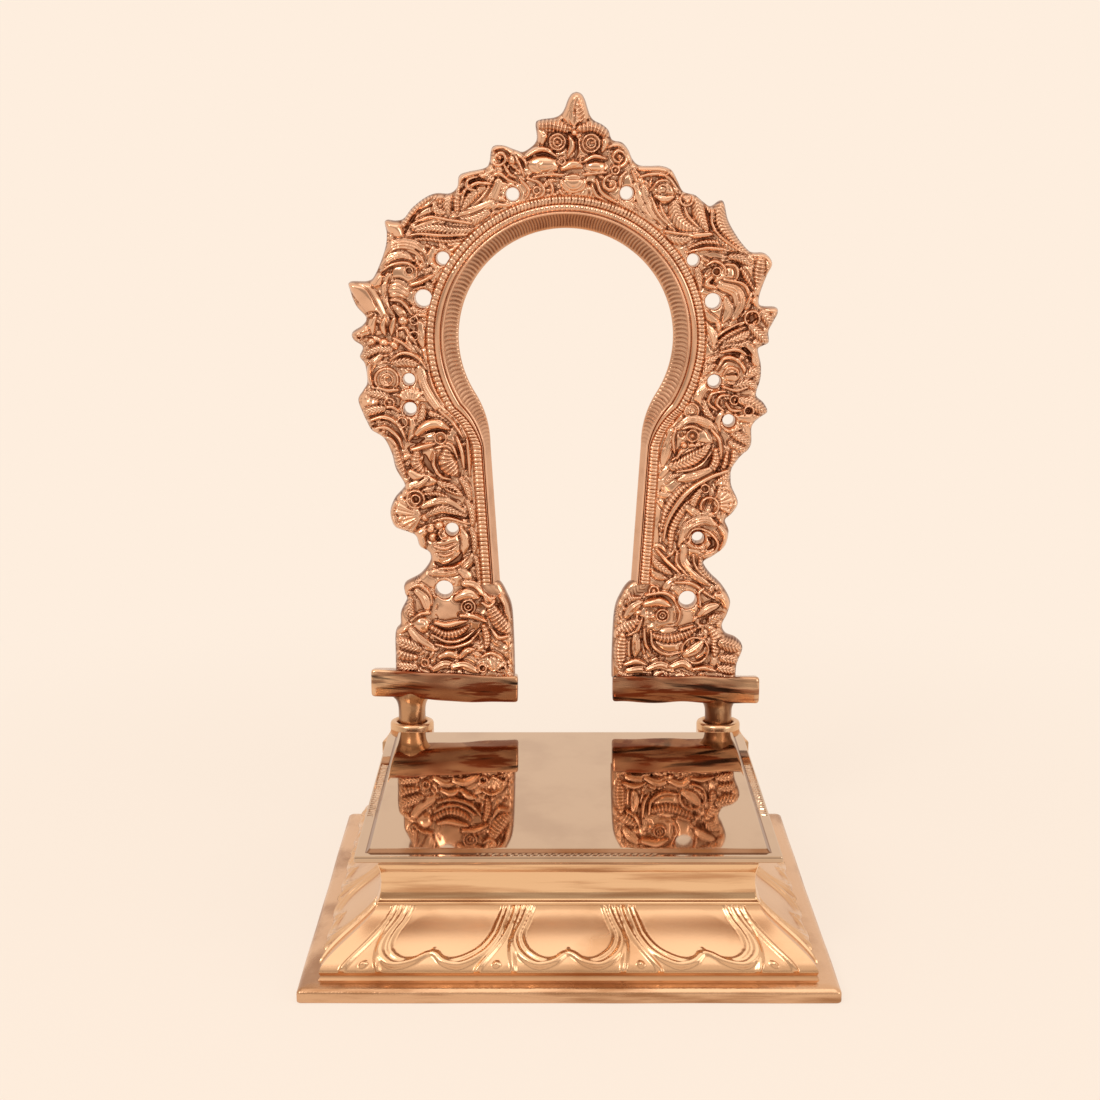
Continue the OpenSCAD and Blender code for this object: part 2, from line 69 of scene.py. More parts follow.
def bronze(name, bright, tarnish, rough, stain, lines, wave, hollow=0.0, soot=None, veins=None):
    """Cast bronze that was polished by hand: bright metal on the high places and brown tarnish elsewhere.

    Each pattern is a noise with clouds of some sizes in mm along x, y and z, turned about y by a slant in
    degrees. The share of tarnish is the stain noise (sizes, from and to levels, most) plus, where the weight
    for it is above 0, that weight times the mesh's own attribute of tarnish and painted light, which holds
    tarnish in the hollows and, on some pieces, painted shade or a painted reflection; roughness runs from
    rough[0] on bright metal to rough[1] on tarnish. lines is a fine noise (sizes, depth in mm, slant) for
    polishing or filing marks, and wave (mm, depth in mm) is the slow unevenness of a hand-worked face. soot
    is a second, darker stain (colour, sizes, from and to levels, slant). veins (depth in mm, share of
    tarnish) are lines cut where the cosine of the mesh's own phase attribute, in turns, is lowest; its marks
    attribute, 0 to 1, is how deep.
    """
    finish = bpy.data.materials.new(name)
    finish.use_nodes = True
    tree = finish.node_tree
    shader = tree.nodes["Principled BSDF"]
    shader.inputs["Metallic"].default_value = 1.0
    place = add(tree, "ShaderNodeTexCoord", {}, {}).outputs["Object"]
    # Sizes, detail and slant of each noise
    noise = {"stain": (stain[0], 5.0, 0.0), "wave": ([wave[0]] * 3, 1.0, 0.0),
             "lines": (lines[0], 3.0, lines[2])}
    if soot:
        noise["soot"] = (soot[1], 4.0, soot[4])
    for key, (size, detail, slant) in noise.items():
        mapped = add(tree, "ShaderNodeMapping", {"vector_type": "TEXTURE"},
                     {"Vector": place, "Rotation": (0.0, np.radians(slant), 0.0),
                      "Scale": [s * MM for s in size]})
        noise[key] = add(tree, "ShaderNodeTexNoise", {},
                         {"Vector": mapped.outputs[0], "Scale": 1.0, "Detail": detail}).outputs["Fac"]
    share = add(tree, "ShaderNodeMapRange", SOFT,
                {0: noise["stain"], 1: stain[1], 2: stain[2], 3: 0.0, 4: stain[3]}).outputs[0]
    if hollow:
        deep = add(tree, "ShaderNodeAttribute", {"attribute_name": "hollow"}, {}).outputs["Fac"]
        share = add(tree, "ShaderNodeMath", {"operation": "MULTIPLY_ADD", "use_clamp": True},
                    {0: deep, 1: hollow, 2: share}).outputs[0]
    bumps = [(wave[1], noise["wave"], False), (lines[1], noise["lines"], False)]
    if veins:
        phase = add(tree, "ShaderNodeAttribute", {"attribute_name": "phase"}, {}).outputs["Fac"]
        marks = add(tree, "ShaderNodeAttribute", {"attribute_name": "marks"}, {}).outputs["Fac"]
        turn = add(tree, "ShaderNodeMath", {"operation": "MULTIPLY"}, {0: phase, 1: 2 * np.pi}).outputs[0]
        turn = add(tree, "ShaderNodeMath", {"operation": "COSINE"}, {0: turn}).outputs[0]
        line = add(tree, "ShaderNodeMapRange", SOFT, {0: turn, 1: -1.0, 2: 0.6, 3: 1.0, 4: 0.0}).outputs[0]
        line = add(tree, "ShaderNodeMath", {"operation": "MULTIPLY"}, {0: line, 1: marks}).outputs[0]
        share = add(tree, "ShaderNodeMath", {"operation": "MULTIPLY_ADD", "use_clamp": True},
                    {0: line, 1: veins[1], 2: share}).outputs[0]
        bumps.append((veins[0], line, True))
    colour = add(tree, "ShaderNodeMix", {"data_type": "RGBA"},
                 {0: share, 6: linear(bright), 7: linear(tarnish)}).outputs[2]
    if soot:
        black = add(tree, "ShaderNodeMapRange", SOFT,
                    {0: noise["soot"], 1: soot[2], 2: soot[3], 3: 0.0, 4: 1.0}).outputs[0]
        colour = add(tree, "ShaderNodeMix", {"data_type": "RGBA"},
                     {0: black, 6: colour, 7: linear(soot[0])}).outputs[2]
    gloss = add(tree, "ShaderNodeMapRange", {}, {0: share, 1: 0.0, 2: 1.0, 3: rough[0], 4: rough[1]})
    normal = {}
    for depth, height, inward in bumps:
        bump = add(tree, "ShaderNodeBump", {"invert": inward},
                   {"Strength": 1.0, "Distance": depth * MM, "Height": height, **normal})
        normal = {"Normal": bump.outputs[0]}
    tree.links.new(colour, shader.inputs["Base Color"])
    tree.links.new(gloss.outputs[0], shader.inputs["Roughness"])
    tree.links.new(bump.outputs[0], shader.inputs["Normal"])
    return finish


def make_piece(name, points, faces, finish, body, slot, nodes, sharp=None, **values):
    """Puts points in mm and quads into a mesh, with its faces outward, and gives it to the frame.

    The enclosed volume is the sum of a . (b x c) / 6 over the triangles; where it is negative the faces turn.
    sharp is an angle in degrees past which an edge is drawn hard, or one flag for each point whose edges are.
    Other values, one for each point, become attributes of the mesh for its finish to read.
    """
    points = np.reshape(points, (-1, 3))
    corners = points[faces]
    halves = np.einsum("ni,ni->n", corners[:, 0], np.cross(corners[:, 1], corners[:, 2]))
    halves += np.einsum("ni,ni->n", corners[:, 0], np.cross(corners[:, 2], corners[:, 3]))
    if halves.sum() < 0:
        faces = faces[:, ::-1]
    mesh = bpy.data.meshes.new(name)
    mesh.vertices.add(len(points))
    mesh.vertices.foreach_set("co", (points * MM).astype(np.float32).ravel())
    mesh.loops.add(faces.size)
    mesh.loops.foreach_set("vertex_index", faces.astype(np.int32).ravel())
    mesh.polygons.add(len(faces))
    mesh.polygons.foreach_set("loop_start", np.arange(0, faces.size, 4, dtype=np.int32))
    mesh.update(calc_edges=True)
    mesh.shade_smooth()
    if np.ndim(sharp) == 1:
        ends = np.empty(2 * len(mesh.edges), dtype=np.int32)
        mesh.edges.foreach_get("vertices", ends)
        mesh.edges.foreach_set("use_edge_sharp", sharp[ends.reshape(-1, 2)].all(1))
    elif sharp:
        mesh.set_sharp_from_angle(angle=np.radians(sharp))
    for key, value in values.items():
        mesh.attributes.new(key, "FLOAT", "POINT").data.foreach_set("value", value.astype(np.float32).ravel())
    mesh.materials.append(finish)
    piece = bpy.data.objects.new(name, mesh)
    bpy.context.scene.collection.objects.link(piece)
    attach(piece, body)
    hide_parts(*nodes)


def eased(profile, ease, steps=4, most=0.3, beyond=1.6):
    """A closed profile with soft arrises: each corner p becomes the curve a(1-t)^2 + 2pt(1-t) + bt^2.

    a and b lie on the two edges at ease from the corner, or at the share most of a short edge; one more point
    on each edge, beyond times as far away, keeps the flats flat.
    """
    p = np.array(profile, float)
    back = np.roll(p, 1, 0) - p
    on = np.roll(p, -1, 0) - p
    cut_back = np.minimum(ease / np.hypot(*back.T), most)[:, None]
    cut_on = np.minimum(ease / np.hypot(*on.T), most)[:, None]
    t = np.linspace(0, 1, steps)[None, :, None]
    a = (p + back * cut_back)[:, None]
    b = (p + on * cut_on)[:, None]
    curve = a * (1 - t) ** 2 + 2 * p[:, None] * t * (1 - t) + b * t ** 2
    far_a = (p + back * cut_back * beyond)[:, None]
    far_b = (p + on * cut_on * beyond)[:, None]
    return np.concatenate([far_a, curve, far_b], 1).reshape(-1, 2)


def tube_faces(points, ring=False):
    """Quads of a tube, given as rows of points that are closed round each row.

    A ring runs on from its last row to its first. Otherwise each end row is filled with strips that join
    point k to point cols - 1 - k, so the count of points in a row, cols, is even.
    """
    rows, cols = points.shape[:2]
    i, j = np.meshgrid(np.arange(rows if ring else rows - 1), np.arange(cols), indexing="ij")
    i2 = (i + 1) % rows
    j2 = (j + 1) % cols
    quads = np.stack([i * cols + j, i2 * cols + j, i2 * cols + j2, i * cols + j2], -1).reshape(-1, 4)
    if ring:
        return quads
    k = np.arange(cols // 2 - 1)
    cap = np.stack([k, k + 1, cols - 2 - k, cols - 1 - k], 1)
    return np.concatenate([quads, cap, cap[:, ::-1] + (rows - 1) * cols])


def square_round(side_points, corner_points=6):
    """A square way of half side 1, as core points C and outward normals N.

    The front side has C = (t, -1) and N = (0, -1); its right corner keeps C = (1, -1) while N turns a
    quarter; the other three quarters are the same, turned by 90 degrees each.
    """
    t = np.linspace(-1, 1, side_points)
    turn = np.linspace(-np.pi / 2, 0, corner_points + 2)[1:-1]
    core = np.concatenate([np.stack([t, -np.ones_like(t)], 1), np.tile([1.0, -1.0], (corner_points, 1))])
    out = np.concatenate([np.tile([0.0, -1.0], (side_points, 1)), np.stack([np.cos(turn), np.sin(turn)], 1)])
    quarter = np.array([[0.0, 1.0], [-1.0, 0.0]])
    turns = [np.linalg.matrix_power(quarter, k) for k in range(4)]
    return np.concatenate([core @ q for q in turns]), np.concatenate([out @ q for q in turns])


def course(profile, corner, side_points=60):
    """A profile of half sides and heights carried round a square: (half - corner) C + corner N, at z."""
    core, out = square_round(side_points)
    half = profile[:, 0, None, None]
    flat = (half - corner) * core + corner * out
    return np.concatenate([flat, np.broadcast_to(profile[:, 1, None, None], (*flat.shape[:2], 1))], -1), out


def uneven(points, length, seed, waves=12):
    """Hand-worked unevenness, about -1 to 1: twice the mean of some plane waves of about a length in mm."""
    rng = np.random.default_rng(seed)
    way = rng.normal(size=(3, waves))
    way *= 2 * np.pi / length * rng.uniform(0.6, 1.5, waves) / np.linalg.norm(way, axis=0)
    return 2 * np.sin(points @ way + rng.uniform(0, 2 * np.pi, waves)).mean(-1)


# Filed cast bronze: duller than the slope above, with the slanting scratches of a coarse file along the edge.
filed_edge = bronze("filed_cast_bronze", "#DCB28D", "#94623B", rough=(0.2, 0.32), wave=(14, 0.05),
                    stain=((26, 26, 2.2), 0.44, 0.66, 0.75), lines=((0.35, 0.35, 3.0), 0.05, 38))
points, out = course(eased(FLANGE, FLANGE_EASE), FLANGE_CORNER)
points[..., :2] += out * uneven(points, FLANGE_WAVE, seed=1)[..., None] * FLANGE_OFF
make_piece("foot_flange_dressed", points, tube_faces(points, True), filed_edge, "pedestal", "pedestal_bronze",
           ["foot_flange"])


# Lotus course: the sloping course over the foot, hollow inside, with three petals on each side.
# Bronze; petal outlines and the strands between them were laid on the wax and stand up from the slope.
LIP_HALF, LIP_Z, LOTUS_DRAW, LOTUS_RISE, LOTUS_FOOT, LOTUS_WALL = 54.4, 5.5, 12.0, 10.8, 3.5, 3.0
# The lip under the slope: how far each point stands out from LIP_HALF, and its height
LIP = [(0.25, LOTUS_FOOT), (-0.1, LOTUS_FOOT + 0.5), (-0.25, LOTUS_FOOT + 0.9), (-0.1, LIP_Z - 0.75),
       (0.02, LIP_Z - 0.5), (0.05, LIP_Z - 0.25)]
LOTUS_STEP = 0.24
# Each petal: its middle, half width and how wide it is at the top; each fan: its middle at top and foot
PETALS = ((-27.9, 12.3, 1.06), (0.0, 11.7, 0.86), (27.9, 12.3, 1.06))
FANS = ((-43.2, -40.4), (-12.3, -14.2), (12.3, 14.2), (43.2, 40.4))
# Petal outline below its top, in half widths from the middle, and a strand of a fan, in mm from its middle;
# both with the share of the way down
PETAL_SIDE = [(1.0, 0.5), (0.86, 0.74), (0.56, 0.9), (0.27, 0.87), (0.09, 0.77), (0.0, 0.74)]
FAN_STRAND = [(0.75, 0.0), (0.8, 0.34), (1.7, 0.66), (3.7, 1.0)]
# The two strands of an outline: how far in, share of the way down, width and rise; then the swell inside it
PETAL_LINES = ((1.3, 0.93, 1.2, 0.42), (0.0, 1.0, 1.7, 0.68))
PETAL_SWELL, SWELL_WIDE = 0.12, 0.85
FAN_WIDTH, FAN_RISE, STRAND_BED, STRAND_GROOVE = 1.5, 0.6, 0.05, 0.06
# How wide the strands are at their two ends, as shares of the full width
FAN_ENDS, PETAL_ENDS = (0.7, 0.55), (0.75, 0.8)
# The bead at the foot of each fan: share of the way down, radius, bed and rise
FAN_BEAD_DOWN, FAN_BEAD_SIZE, FAN_BEAD_BED, FAN_BEAD_RISE = 0.9, 0.75, 0.1, 0.55
# Tarnish on the lip and in the hollows of the slope
LIP_BROWN, SLOPE_BROWN, SLOPE_BROWN_MOST = 0.7, 0.22, 0.4


def run_along(line):
    """Length along a line from its start to each of its points."""
    return np.concatenate([[0.0], np.cumsum(np.hypot(*np.diff(line, axis=0).T))])


def outward(line):
    """Normals to the left of a line's way: its gradient (x, z), brought to length 1 and turned to (-z, x)."""
    way = np.gradient(line, axis=0)
    way /= np.hypot(*way.T)[:, None]
    return np.stack([-way[:, 1], way[:, 0]], 1)


def smooth_line(points, step=0.4, span=12):
    """A Catmull-Rom curve through points, with span parts between two, taken at even steps of its length.

    Between b and c, a before and d after, it is b + t(c-a)/2 + t^2(a - 5b/2 + 2c - d/2) + t^3(3b-3c+d-a)/2.
    """
    p = np.asarray(points, float)
    p = np.concatenate([[2 * p[0] - p[1]], p, [2 * p[-1] - p[-2]]])
    a, b, c, d = (p[i:len(p) - 3 + i, None] for i in range(4))
    t = np.linspace(0, 1, span, endpoint=False)[None, :, None]
    curve = b + t * (c - a) / 2 + t ** 2 * (a - 2.5 * b + 2 * c - d / 2)
    curve = curve + t ** 3 * (3 * b - 3 * c + d - a) / 2
    curve = np.concatenate([curve.reshape(-1, 2), p[-2:-1]])
    run = run_along(curve)
    even = np.linspace(0, run[-1], max(3, int(run[-1] / step) + 1))
    return np.stack([np.interp(even, run, curve[:, 0]), np.interp(even, run, curve[:, 1])], 1)


def nearest(line, x, z):
    """Distance of grid points from a line, the run along it and the side (1 to the left of its way).

    The foot of the perpendicular on each leg is cut off at the leg's ends, and the nearest leg is kept.
    """
    leg = np.diff(line, axis=0)
    size = np.hypot(*leg.T)
    run = np.concatenate([[0.0], np.cumsum(size)[:-1]])
    rx = x[..., None] - line[:-1, 0]
    rz = z[..., None] - line[:-1, 1]
    along = np.clip((rx * leg[:, 0] + rz * leg[:, 1]) / size ** 2, 0, 1)
    gap = np.hypot(rx - along * leg[:, 0], rz - along * leg[:, 1])
    best = gap.argmin(-1)[..., None]
    turn = np.sign(leg[:, 0] * rz - leg[:, 1] * rx)
    return [np.take_along_axis(field, best, -1)[..., 0] for field in (gap, run + along * size, turn)]


def window(face, low, high):
    """Rows and columns of a face's grid that cover a box, as two slices."""
    start = np.array([face["z"][0, 0], face["x"][0, 0]])
    first = np.floor((np.array([low[1], low[0]]) - start) / face["step"]).astype(int)
    last = np.ceil((np.array([high[1], high[0]]) - start) / face["step"]).astype(int) + 1
    first, last = (np.clip(v, 0, face["h"].shape) for v in (first, last))
    return slice(first[0], last[0]), slice(first[1], last[1])


def patch(face, low, high):
    """The part of a face that covers a box: its x, z, height, phase and marks, to be changed in place."""
    rows, cols = window(face, low, high)
    return [face[key][rows, cols] for key in ("x", "z", "h", "phase", "marks")]


def rounded(u):
    """Height of a section at u, -1 to 1 across it: (1 - u^2) ^ 0.7, softer at its foot than a circle."""
    return np.clip(1 - u * u, 0, 1) ** 0.7


# Cross sections of a strand, u running -1 to 1 across it; any other kind is plain
SECTIONS = {
    "leaf": lambda u: rounded(u) - 0.2 * np.exp(-(u / 0.12) ** 2),
    "sheaf": lambda u: rounded(u) * (0.8 + 0.2 * np.cos(5 * np.pi * u)),
    "flute": lambda u: rounded(u) * (0.84 + 0.16 * np.cos(3 * np.pi * u)),
}
# Marks cut across some kinds: how deep, as a share of the height, and how far they slant, in pitches
MARK_PITCH = 0.95
MARKS = {"rope": (0.32, lambda u: 0.45 * u), "comb": (0.36, lambda u: 0.12 * u * u),
         "leaf": (0.28, lambda u: -1.4 * abs(u))}
# How far out grooves are cut; their spread beside a strand; and their depth and spread beside a boss
GROOVE_REACH, GROOVE_SPREAD = 0.8, 0.3
BOSS_GROOVE, BOSS_SPREAD = 0.2, 0.28


def lay(face, kind, width, bed, rise, points, ends=(0.65, 0.3), groove=0.22):
    """Lays a modelled strand on a face.

    Its half width goes from ends[0] of the full one to the full one and on to ends[1], with sin(pi q) ^ 0.8
    along the run q. Inside it the face becomes bed + rise (0.85 + 0.15 sin(pi q)) times the section, less
    the depth of its marks times 0.5 - 0.5 cos(2 pi phase). Outside it the face is cut down by
    groove * exp(-(gap / spread)^2), so that each strand stands clear of what it lies on. The phase and depth
    of the marks across it are kept for the finish.
    """
    line = smooth_line(np.reshape(points, (-1, 2)))
    reach = 0.5 * width + GROOVE_REACH
    x, z, h, phases, marks = patch(face, line.min(0) - reach, line.max(0) + reach)
    if min(h.shape) < 2:
        return
    gap, run, side = nearest(line, x, z)
    q = np.clip(run / np.hypot(*np.diff(line, axis=0).T).sum(), 0, 1)
    ramp = ends[0] + (ends[1] - ends[0]) * q
    half = 0.5 * width * (ramp + (1 - ramp) * np.sin(np.pi * q) ** 0.8)
    u = np.clip(side * gap / half, -1, 1)
    body = (0.85 + 0.15 * np.sin(np.pi * q)) * SECTIONS.get(kind, rounded)(u)
    depth, slant = MARKS.get(kind, (0.0, abs))
    phase = run / MARK_PITCH + slant(u)
    body = bed + rise * body * (1 - depth * (0.5 - 0.5 * np.cos(2 * np.pi * phase)))
    cut = h - groove * np.exp(-(np.maximum(gap - half, 0) / GROOVE_SPREAD) ** 2)
    shown = np.clip((1 - abs(u)) * 4, 0, 1) * (depth > 0)
    h[:] = np.where(gap < half, body, cut)
    phases[:] = np.where(gap < half, phase, phases)
    marks[:] = np.where(gap < half, shown, marks)


def boss(face, size, bed, rise, x, z, width=None):
    """A round boss, rise * (1 - (d / r)^2) ^ 0.7 over its bed, or with a width a ring of that section."""
    width = width or 2 * size
    reach = size + GROOVE_REACH
    at_x, at_z, h, _, marks = patch(face, (x - reach, z - reach), (x + reach, z + reach))
    gap = np.abs(np.hypot(at_x - x, at_z - z) - max(size - 0.5 * width, 0.0))
    cut = h - BOSS_GROOVE * np.exp(-(np.maximum(gap - 0.5 * width, 0) / BOSS_SPREAD) ** 2)
    h[:] = np.where(gap < 0.5 * width, bed + rise * rounded(2 * gap / width), cut)
    marks *= gap >= 0.5 * width


def soften(field, reach):
    """Mean over a square of (2 reach + 1) points a side: running sums along each axis, edges held."""
    for axis in (0, 1):
        pad = [(0, 0), (0, 0)]
        pad[axis] = (reach + 1, reach)
        total = np.cumsum(np.pad(field, pad, mode="edge"), axis)
        size = field.shape[axis]
        field = (np.take(total, range(2 * reach + 1, 2 * reach + 1 + size), axis)
                 - np.take(total, range(size), axis)) / (2 * reach + 1)
    return field


def lotus_line(u):
    """Outer line of the course, u from lip 0 to neck 1: half = lip - draw (0.75 (3u^2 - 2u^3) + 0.25 u)."""
    half = LIP_HALF - LOTUS_DRAW * (0.75 * u * u * (3 - 2 * u) + 0.25 * u)
    return np.stack([half, LIP_Z + LOTUS_RISE * u], -1)


def shell_faces(rows, cols):
    """Quads of a slab of two grids of points, the outer one first, with its four edges closed."""
    def quads(a, b, c, d):
        return np.stack([a, b, c, d], -1).reshape(-1, 4)
    outer = np.arange(rows * cols).reshape(rows, cols)
    inner = outer + rows * cols
    rim = np.concatenate([outer[0, :-1], outer[:-1, -1], outer[-1, :0:-1], outer[:0:-1, 0]])
    rim_in = rim + rows * cols
    return np.concatenate([
        quads(outer[:-1, :-1], outer[1:, :-1], outer[1:, 1:], outer[:-1, 1:]),
        quads(inner[:-1, :-1], inner[:-1, 1:], inner[1:, 1:], inner[1:, :-1]),
        quads(rim, np.roll(rim, -1), np.roll(rim_in, -1), rim_in)])


slope = lotus_line(np.linspace(0, 1, 400))
slope_run = run_along(slope)
slope_len = slope_run[-1]
half_mid = LIP_HALF - LOTUS_DRAW / 2
up = np.linspace(0, slope_len, int(slope_len / LOTUS_STEP))
lotus_x, lotus_up = np.meshgrid(np.linspace(-half_mid, half_mid, int(2 * half_mid / LOTUS_STEP)), up)
petals = {"x": lotus_x, "z": lotus_up, **{key: np.zeros_like(lotus_x) for key in ("h", "phase", "marks")},
          "step": np.array([up[1], lotus_x[0, 1] - lotus_x[0, 0]])}
for middle, wide, _ in PETALS:
    swell = np.hypot((lotus_x - middle) / (SWELL_WIDE * wide), (lotus_up / slope_len - 0.5) / 0.5)
    petals["h"] += PETAL_SWELL * np.clip(1 - swell ** 2, 0, 1)
for above, below in FANS:
    for hand in (-1, 1):
        strand = [(above + (below - above) * f + hand * x, slope_len * (1 - f)) for x, f in FAN_STRAND]
        lay(petals, "strand", FAN_WIDTH, STRAND_BED, FAN_RISE, strand, FAN_ENDS, STRAND_GROOVE)
    boss(petals, FAN_BEAD_SIZE, FAN_BEAD_BED, FAN_BEAD_RISE, below, slope_len * (1 - FAN_BEAD_DOWN))
for middle, wide, top in PETALS:
    side = [(top, 0.0), (0.45 * top + 0.55, 0.25)] + PETAL_SIDE
    for hand in (-1, 1):
        for inset, down, width, rise in PETAL_LINES:
            strand = [(middle + hand * max(wide * x - inset, 0.0), slope_len * (1 - down * f))
                      for x, f in side]
            lay(petals, "strand", width, STRAND_BED, rise, strand, PETAL_ENDS, STRAND_GROOVE)
petals["h"] = soften(petals["h"], 1)

# Polished bronze: smooth, with the faint stain and slow waves that hand polishing leaves.
polished = bronze("polished_bronze", "#E0B790", "#A9703F", rough=(0.24, 0.34), wave=(16, 0.07), hollow=0.5,
                  stain=((18, 18, 12), 0.5, 0.82, 0.45), lines=((8.0, 8.0, 1.2), 0.006, 0))
line = np.stack([np.interp(up, slope_run, slope[:, k]) for k in (0, 1)], 1)
lip = np.array(LIP) + (LIP_HALF, 0.0)
raised = line[:, None] - petals["h"][..., None] * outward(line)[:, None]
outer = np.concatenate([np.broadcast_to(lip[:, None], (len(lip), *raised.shape[1:])), raised])
inner = np.concatenate([lip, line])
inner = np.broadcast_to(inner[:, None] - (LOTUS_WALL, 0.0), outer.shape)
side = np.broadcast_to(lotus_x[0] / half_mid, outer.shape[:2])
flat = np.concatenate([np.stack([side * f[..., 0], -f[..., 0], f[..., 1]], -1).reshape(-1, 3)
                       for f in (outer, inner)])
low = np.concatenate([np.full((len(lip), lotus_x.shape[1]), LIP_BROWN),
                      np.clip(SLOPE_BROWN - petals["h"], 0, SLOPE_BROWN_MOST)])
low = np.concatenate([low.ravel(), np.zeros(low.size)])
for k, name in enumerate(("front", "right", "back", "left")):
    c, s = np.cos(k * np.pi / 2), np.sin(k * np.pi / 2)
    turned = flat @ np.array([[c, s, 0], [-s, c, 0], [0, 0, 1]])
    make_piece("lotus_" + name, turned, shell_faces(*outer.shape[:2]), polished, "pedestal",
               "pedestal_bronze", ["lotus_tier", "lotus_petals_" + name], sharp=60, hollow=low)


# Neck: the hollowed square neck between the lotus course and the seat, polished along its length.
# Bronze, cast in one with the courses above and below; the streaks are left by the buffing wheel.
NECK = [(39.4, 16.3), (42.9, 16.3), (42.9, 16.8), (42.2, 17.4), (41.85, 19.0), (41.65, 21.2), (41.85, 23.4),
        (42.3, 25.0), (42.4, 25.7), (39.4, 25.7)]
NECK_EASE, NECK_CORNER = 0.25, 0.6
# Wheel-polished bronze: long level streaks, and glossier than the slope.
wheel_polished = bronze("wheel_polished_bronze", "#EEC69C", "#A86C3E", rough=(0.11, 0.22), wave=(18, 0.06),
                        stain=((26, 26, 1.9), 0.44, 0.7, 0.6), lines=((30.0, 30.0, 0.9), 0.012, 0))
points, out = course(eased(NECK, NECK_EASE), NECK_CORNER)
make_piece("neck_dressed", points, tube_faces(points, True), wheel_polished, "pedestal", "pedestal_bronze",
           ["neck_tier"])


# Seat: the slab that a figure stands on, with a cove below, a border strip and a raised, polished field.
# Bronze; a row of slanting nicks is punched on the border strip, and the field lies a little out of level.
STRIP_Z, FIELD_RISE, FIELD_EDGE = 29.1, 1.1, 44.35
SEAT_SIDE = [(41.0, 25.7), (42.4, 25.7), (42.55, 26.3), (43.1, 26.85), (44.3, 27.25), (46.2, 27.5),
             (46.8, 27.6), (47.05, 27.8), (47.1, 28.1), (47.1, 28.7), (47.0, 28.98), (46.75, STRIP_Z)]
SEAT_STRIP = [(46.7 - 0.15 * k, STRIP_Z) for k in range(14)]
SEAT_FIELD = [(44.6, STRIP_Z), (44.48, 29.2), (44.1, 29.9), (43.97, 30.1), (43.75, 30.2), (43.2, 30.2),
              (41.0, 30.2)]
SEAT_CORNER = 0.5
# The tilt is a slope, in mm of height for each mm towards the back
SEAT_TILT = 0.0087
# The row of nicks: its half length, middle and half width; and the nicks' pitch, depth and slant in pitches
NICK_HALF, NICK_MIDDLE, NICK_WIDE = 20.0, 45.7, 0.85
NICK_PITCH, NICK_DEPTH, NICK_SLANT = 1.45, 0.5, 0.22
# Tarnish in the nicks; a brown painted reflection on the bevel at the field's edge, and how far either side
# of that edge it reaches
NICK_BROWN, EDGE_REFLECTION, EDGE_WIDE = 1.6, 0.9, 0.5
profile = np.array(SEAT_SIDE + SEAT_STRIP + SEAT_FIELD)
points, out = course(profile, SEAT_CORNER, side_points=420)
along = np.where(np.abs(out[:, 0]) > 0.5, points[..., 1], points[..., 0])
# -1 to 1 across the row of nicks, and well past 1 off the strip
across = (profile[:, 0] - NICK_MIDDLE) / NICK_WIDE + 9 * (profile[:, 1] != STRIP_Z)
nick = np.clip(np.cos(2 * np.pi * (along / NICK_PITCH + NICK_SLANT * across[:, None])), 0, 1) ** 0.7
nick *= np.clip(1 - across ** 2, 0, 1)[:, None] ** 0.5 * (np.abs(along) < NICK_HALF)
points[..., 2] -= NICK_DEPTH * nick
points[..., 2] += SEAT_TILT * points[..., 1] * np.clip((profile[:, 1] - STRIP_Z) / FIELD_RISE, 0, 1)[:, None]
# Mirror-polished bronze: flat and bright, paler than the rest, with a few dull clouds and wiping marks.
mirror = bronze("mirror_polished_bronze", "#CFB296", "#7A4C2C", rough=(0.03, 0.1), wave=(26, 0.03),
                hollow=0.9, stain=((16, 24, 16), 0.42, 0.72, 0.2), lines=((2.0, 30.0, 30.0), 0.001, 0))
# The bevel at the field's edge is painted brown as a reflection; the nicks hold tarnish
field_edge = np.abs(profile[:, 0] - FIELD_EDGE) < EDGE_WIDE
low = np.clip(NICK_BROWN * nick + EDGE_REFLECTION * field_edge[:, None], 0, 1)
make_piece("seat_dressed", points, tube_faces(points), mirror, "pedestal", "pedestal_bronze", ["seat_slab"],
           sharp=32, hollow=low)


# Sockets: two round bosses behind the slab, each on a lug that runs in to the neck, bored for the two pegs.
# Bronze, cast on the pedestal and bored after; the rim of each bore is broken.
# The bore is painted dark as the shade in it, and that painted shade fades out over the rim.
SOCKETS = {"left": -41.0, "right": 41.0}
SOCKET_Y = 53.5
SOCKET_WAY = [(0.4, 19.5), (3.8, 19.5), (4.0, 19.7), (4.0, 30.5), (4.2, 30.9), (4.5, 31.0), (5.2, 31.0),
              (5.6, 30.8), (5.8, 30.3), (5.8, 18.0), (5.5, 17.5), (0.4, 17.5)]
# Painted shade by distance from the middle: the bore is dark and the boss outside its rim is left bright
SOCKET_SHADE = ([4.0, 4.6], [1.0, 0.0])
LUG_FROM, LUG_TO, LUG_LOW, LUG_HIGH, LUG_HALF, LUG_SPLAY = 41.0, 53.5, 17.5, 29.05, 5.7, 1.3
# Arrises of the lug: how far the lower and upper one are broken, and how wide the broken faces are
LUG_BREAK_LOW, LUG_BREAK_HIGH, LUG_BREAK = 0.4, 0.5, 0.96


def turned_piece(profile, x, y, round_points=64):
    """A profile of radius and height turned about an upright axis at (x, y), one row for each point of it."""
    a = np.linspace(0, 2 * np.pi, round_points, endpoint=False)
    profile = np.array(profile)
    r = profile[:, 0, None]
    z = np.broadcast_to(profile[:, 1, None], (len(profile), round_points))
    return np.stack([x + r * np.cos(a), y + r * np.sin(a), z], -1)


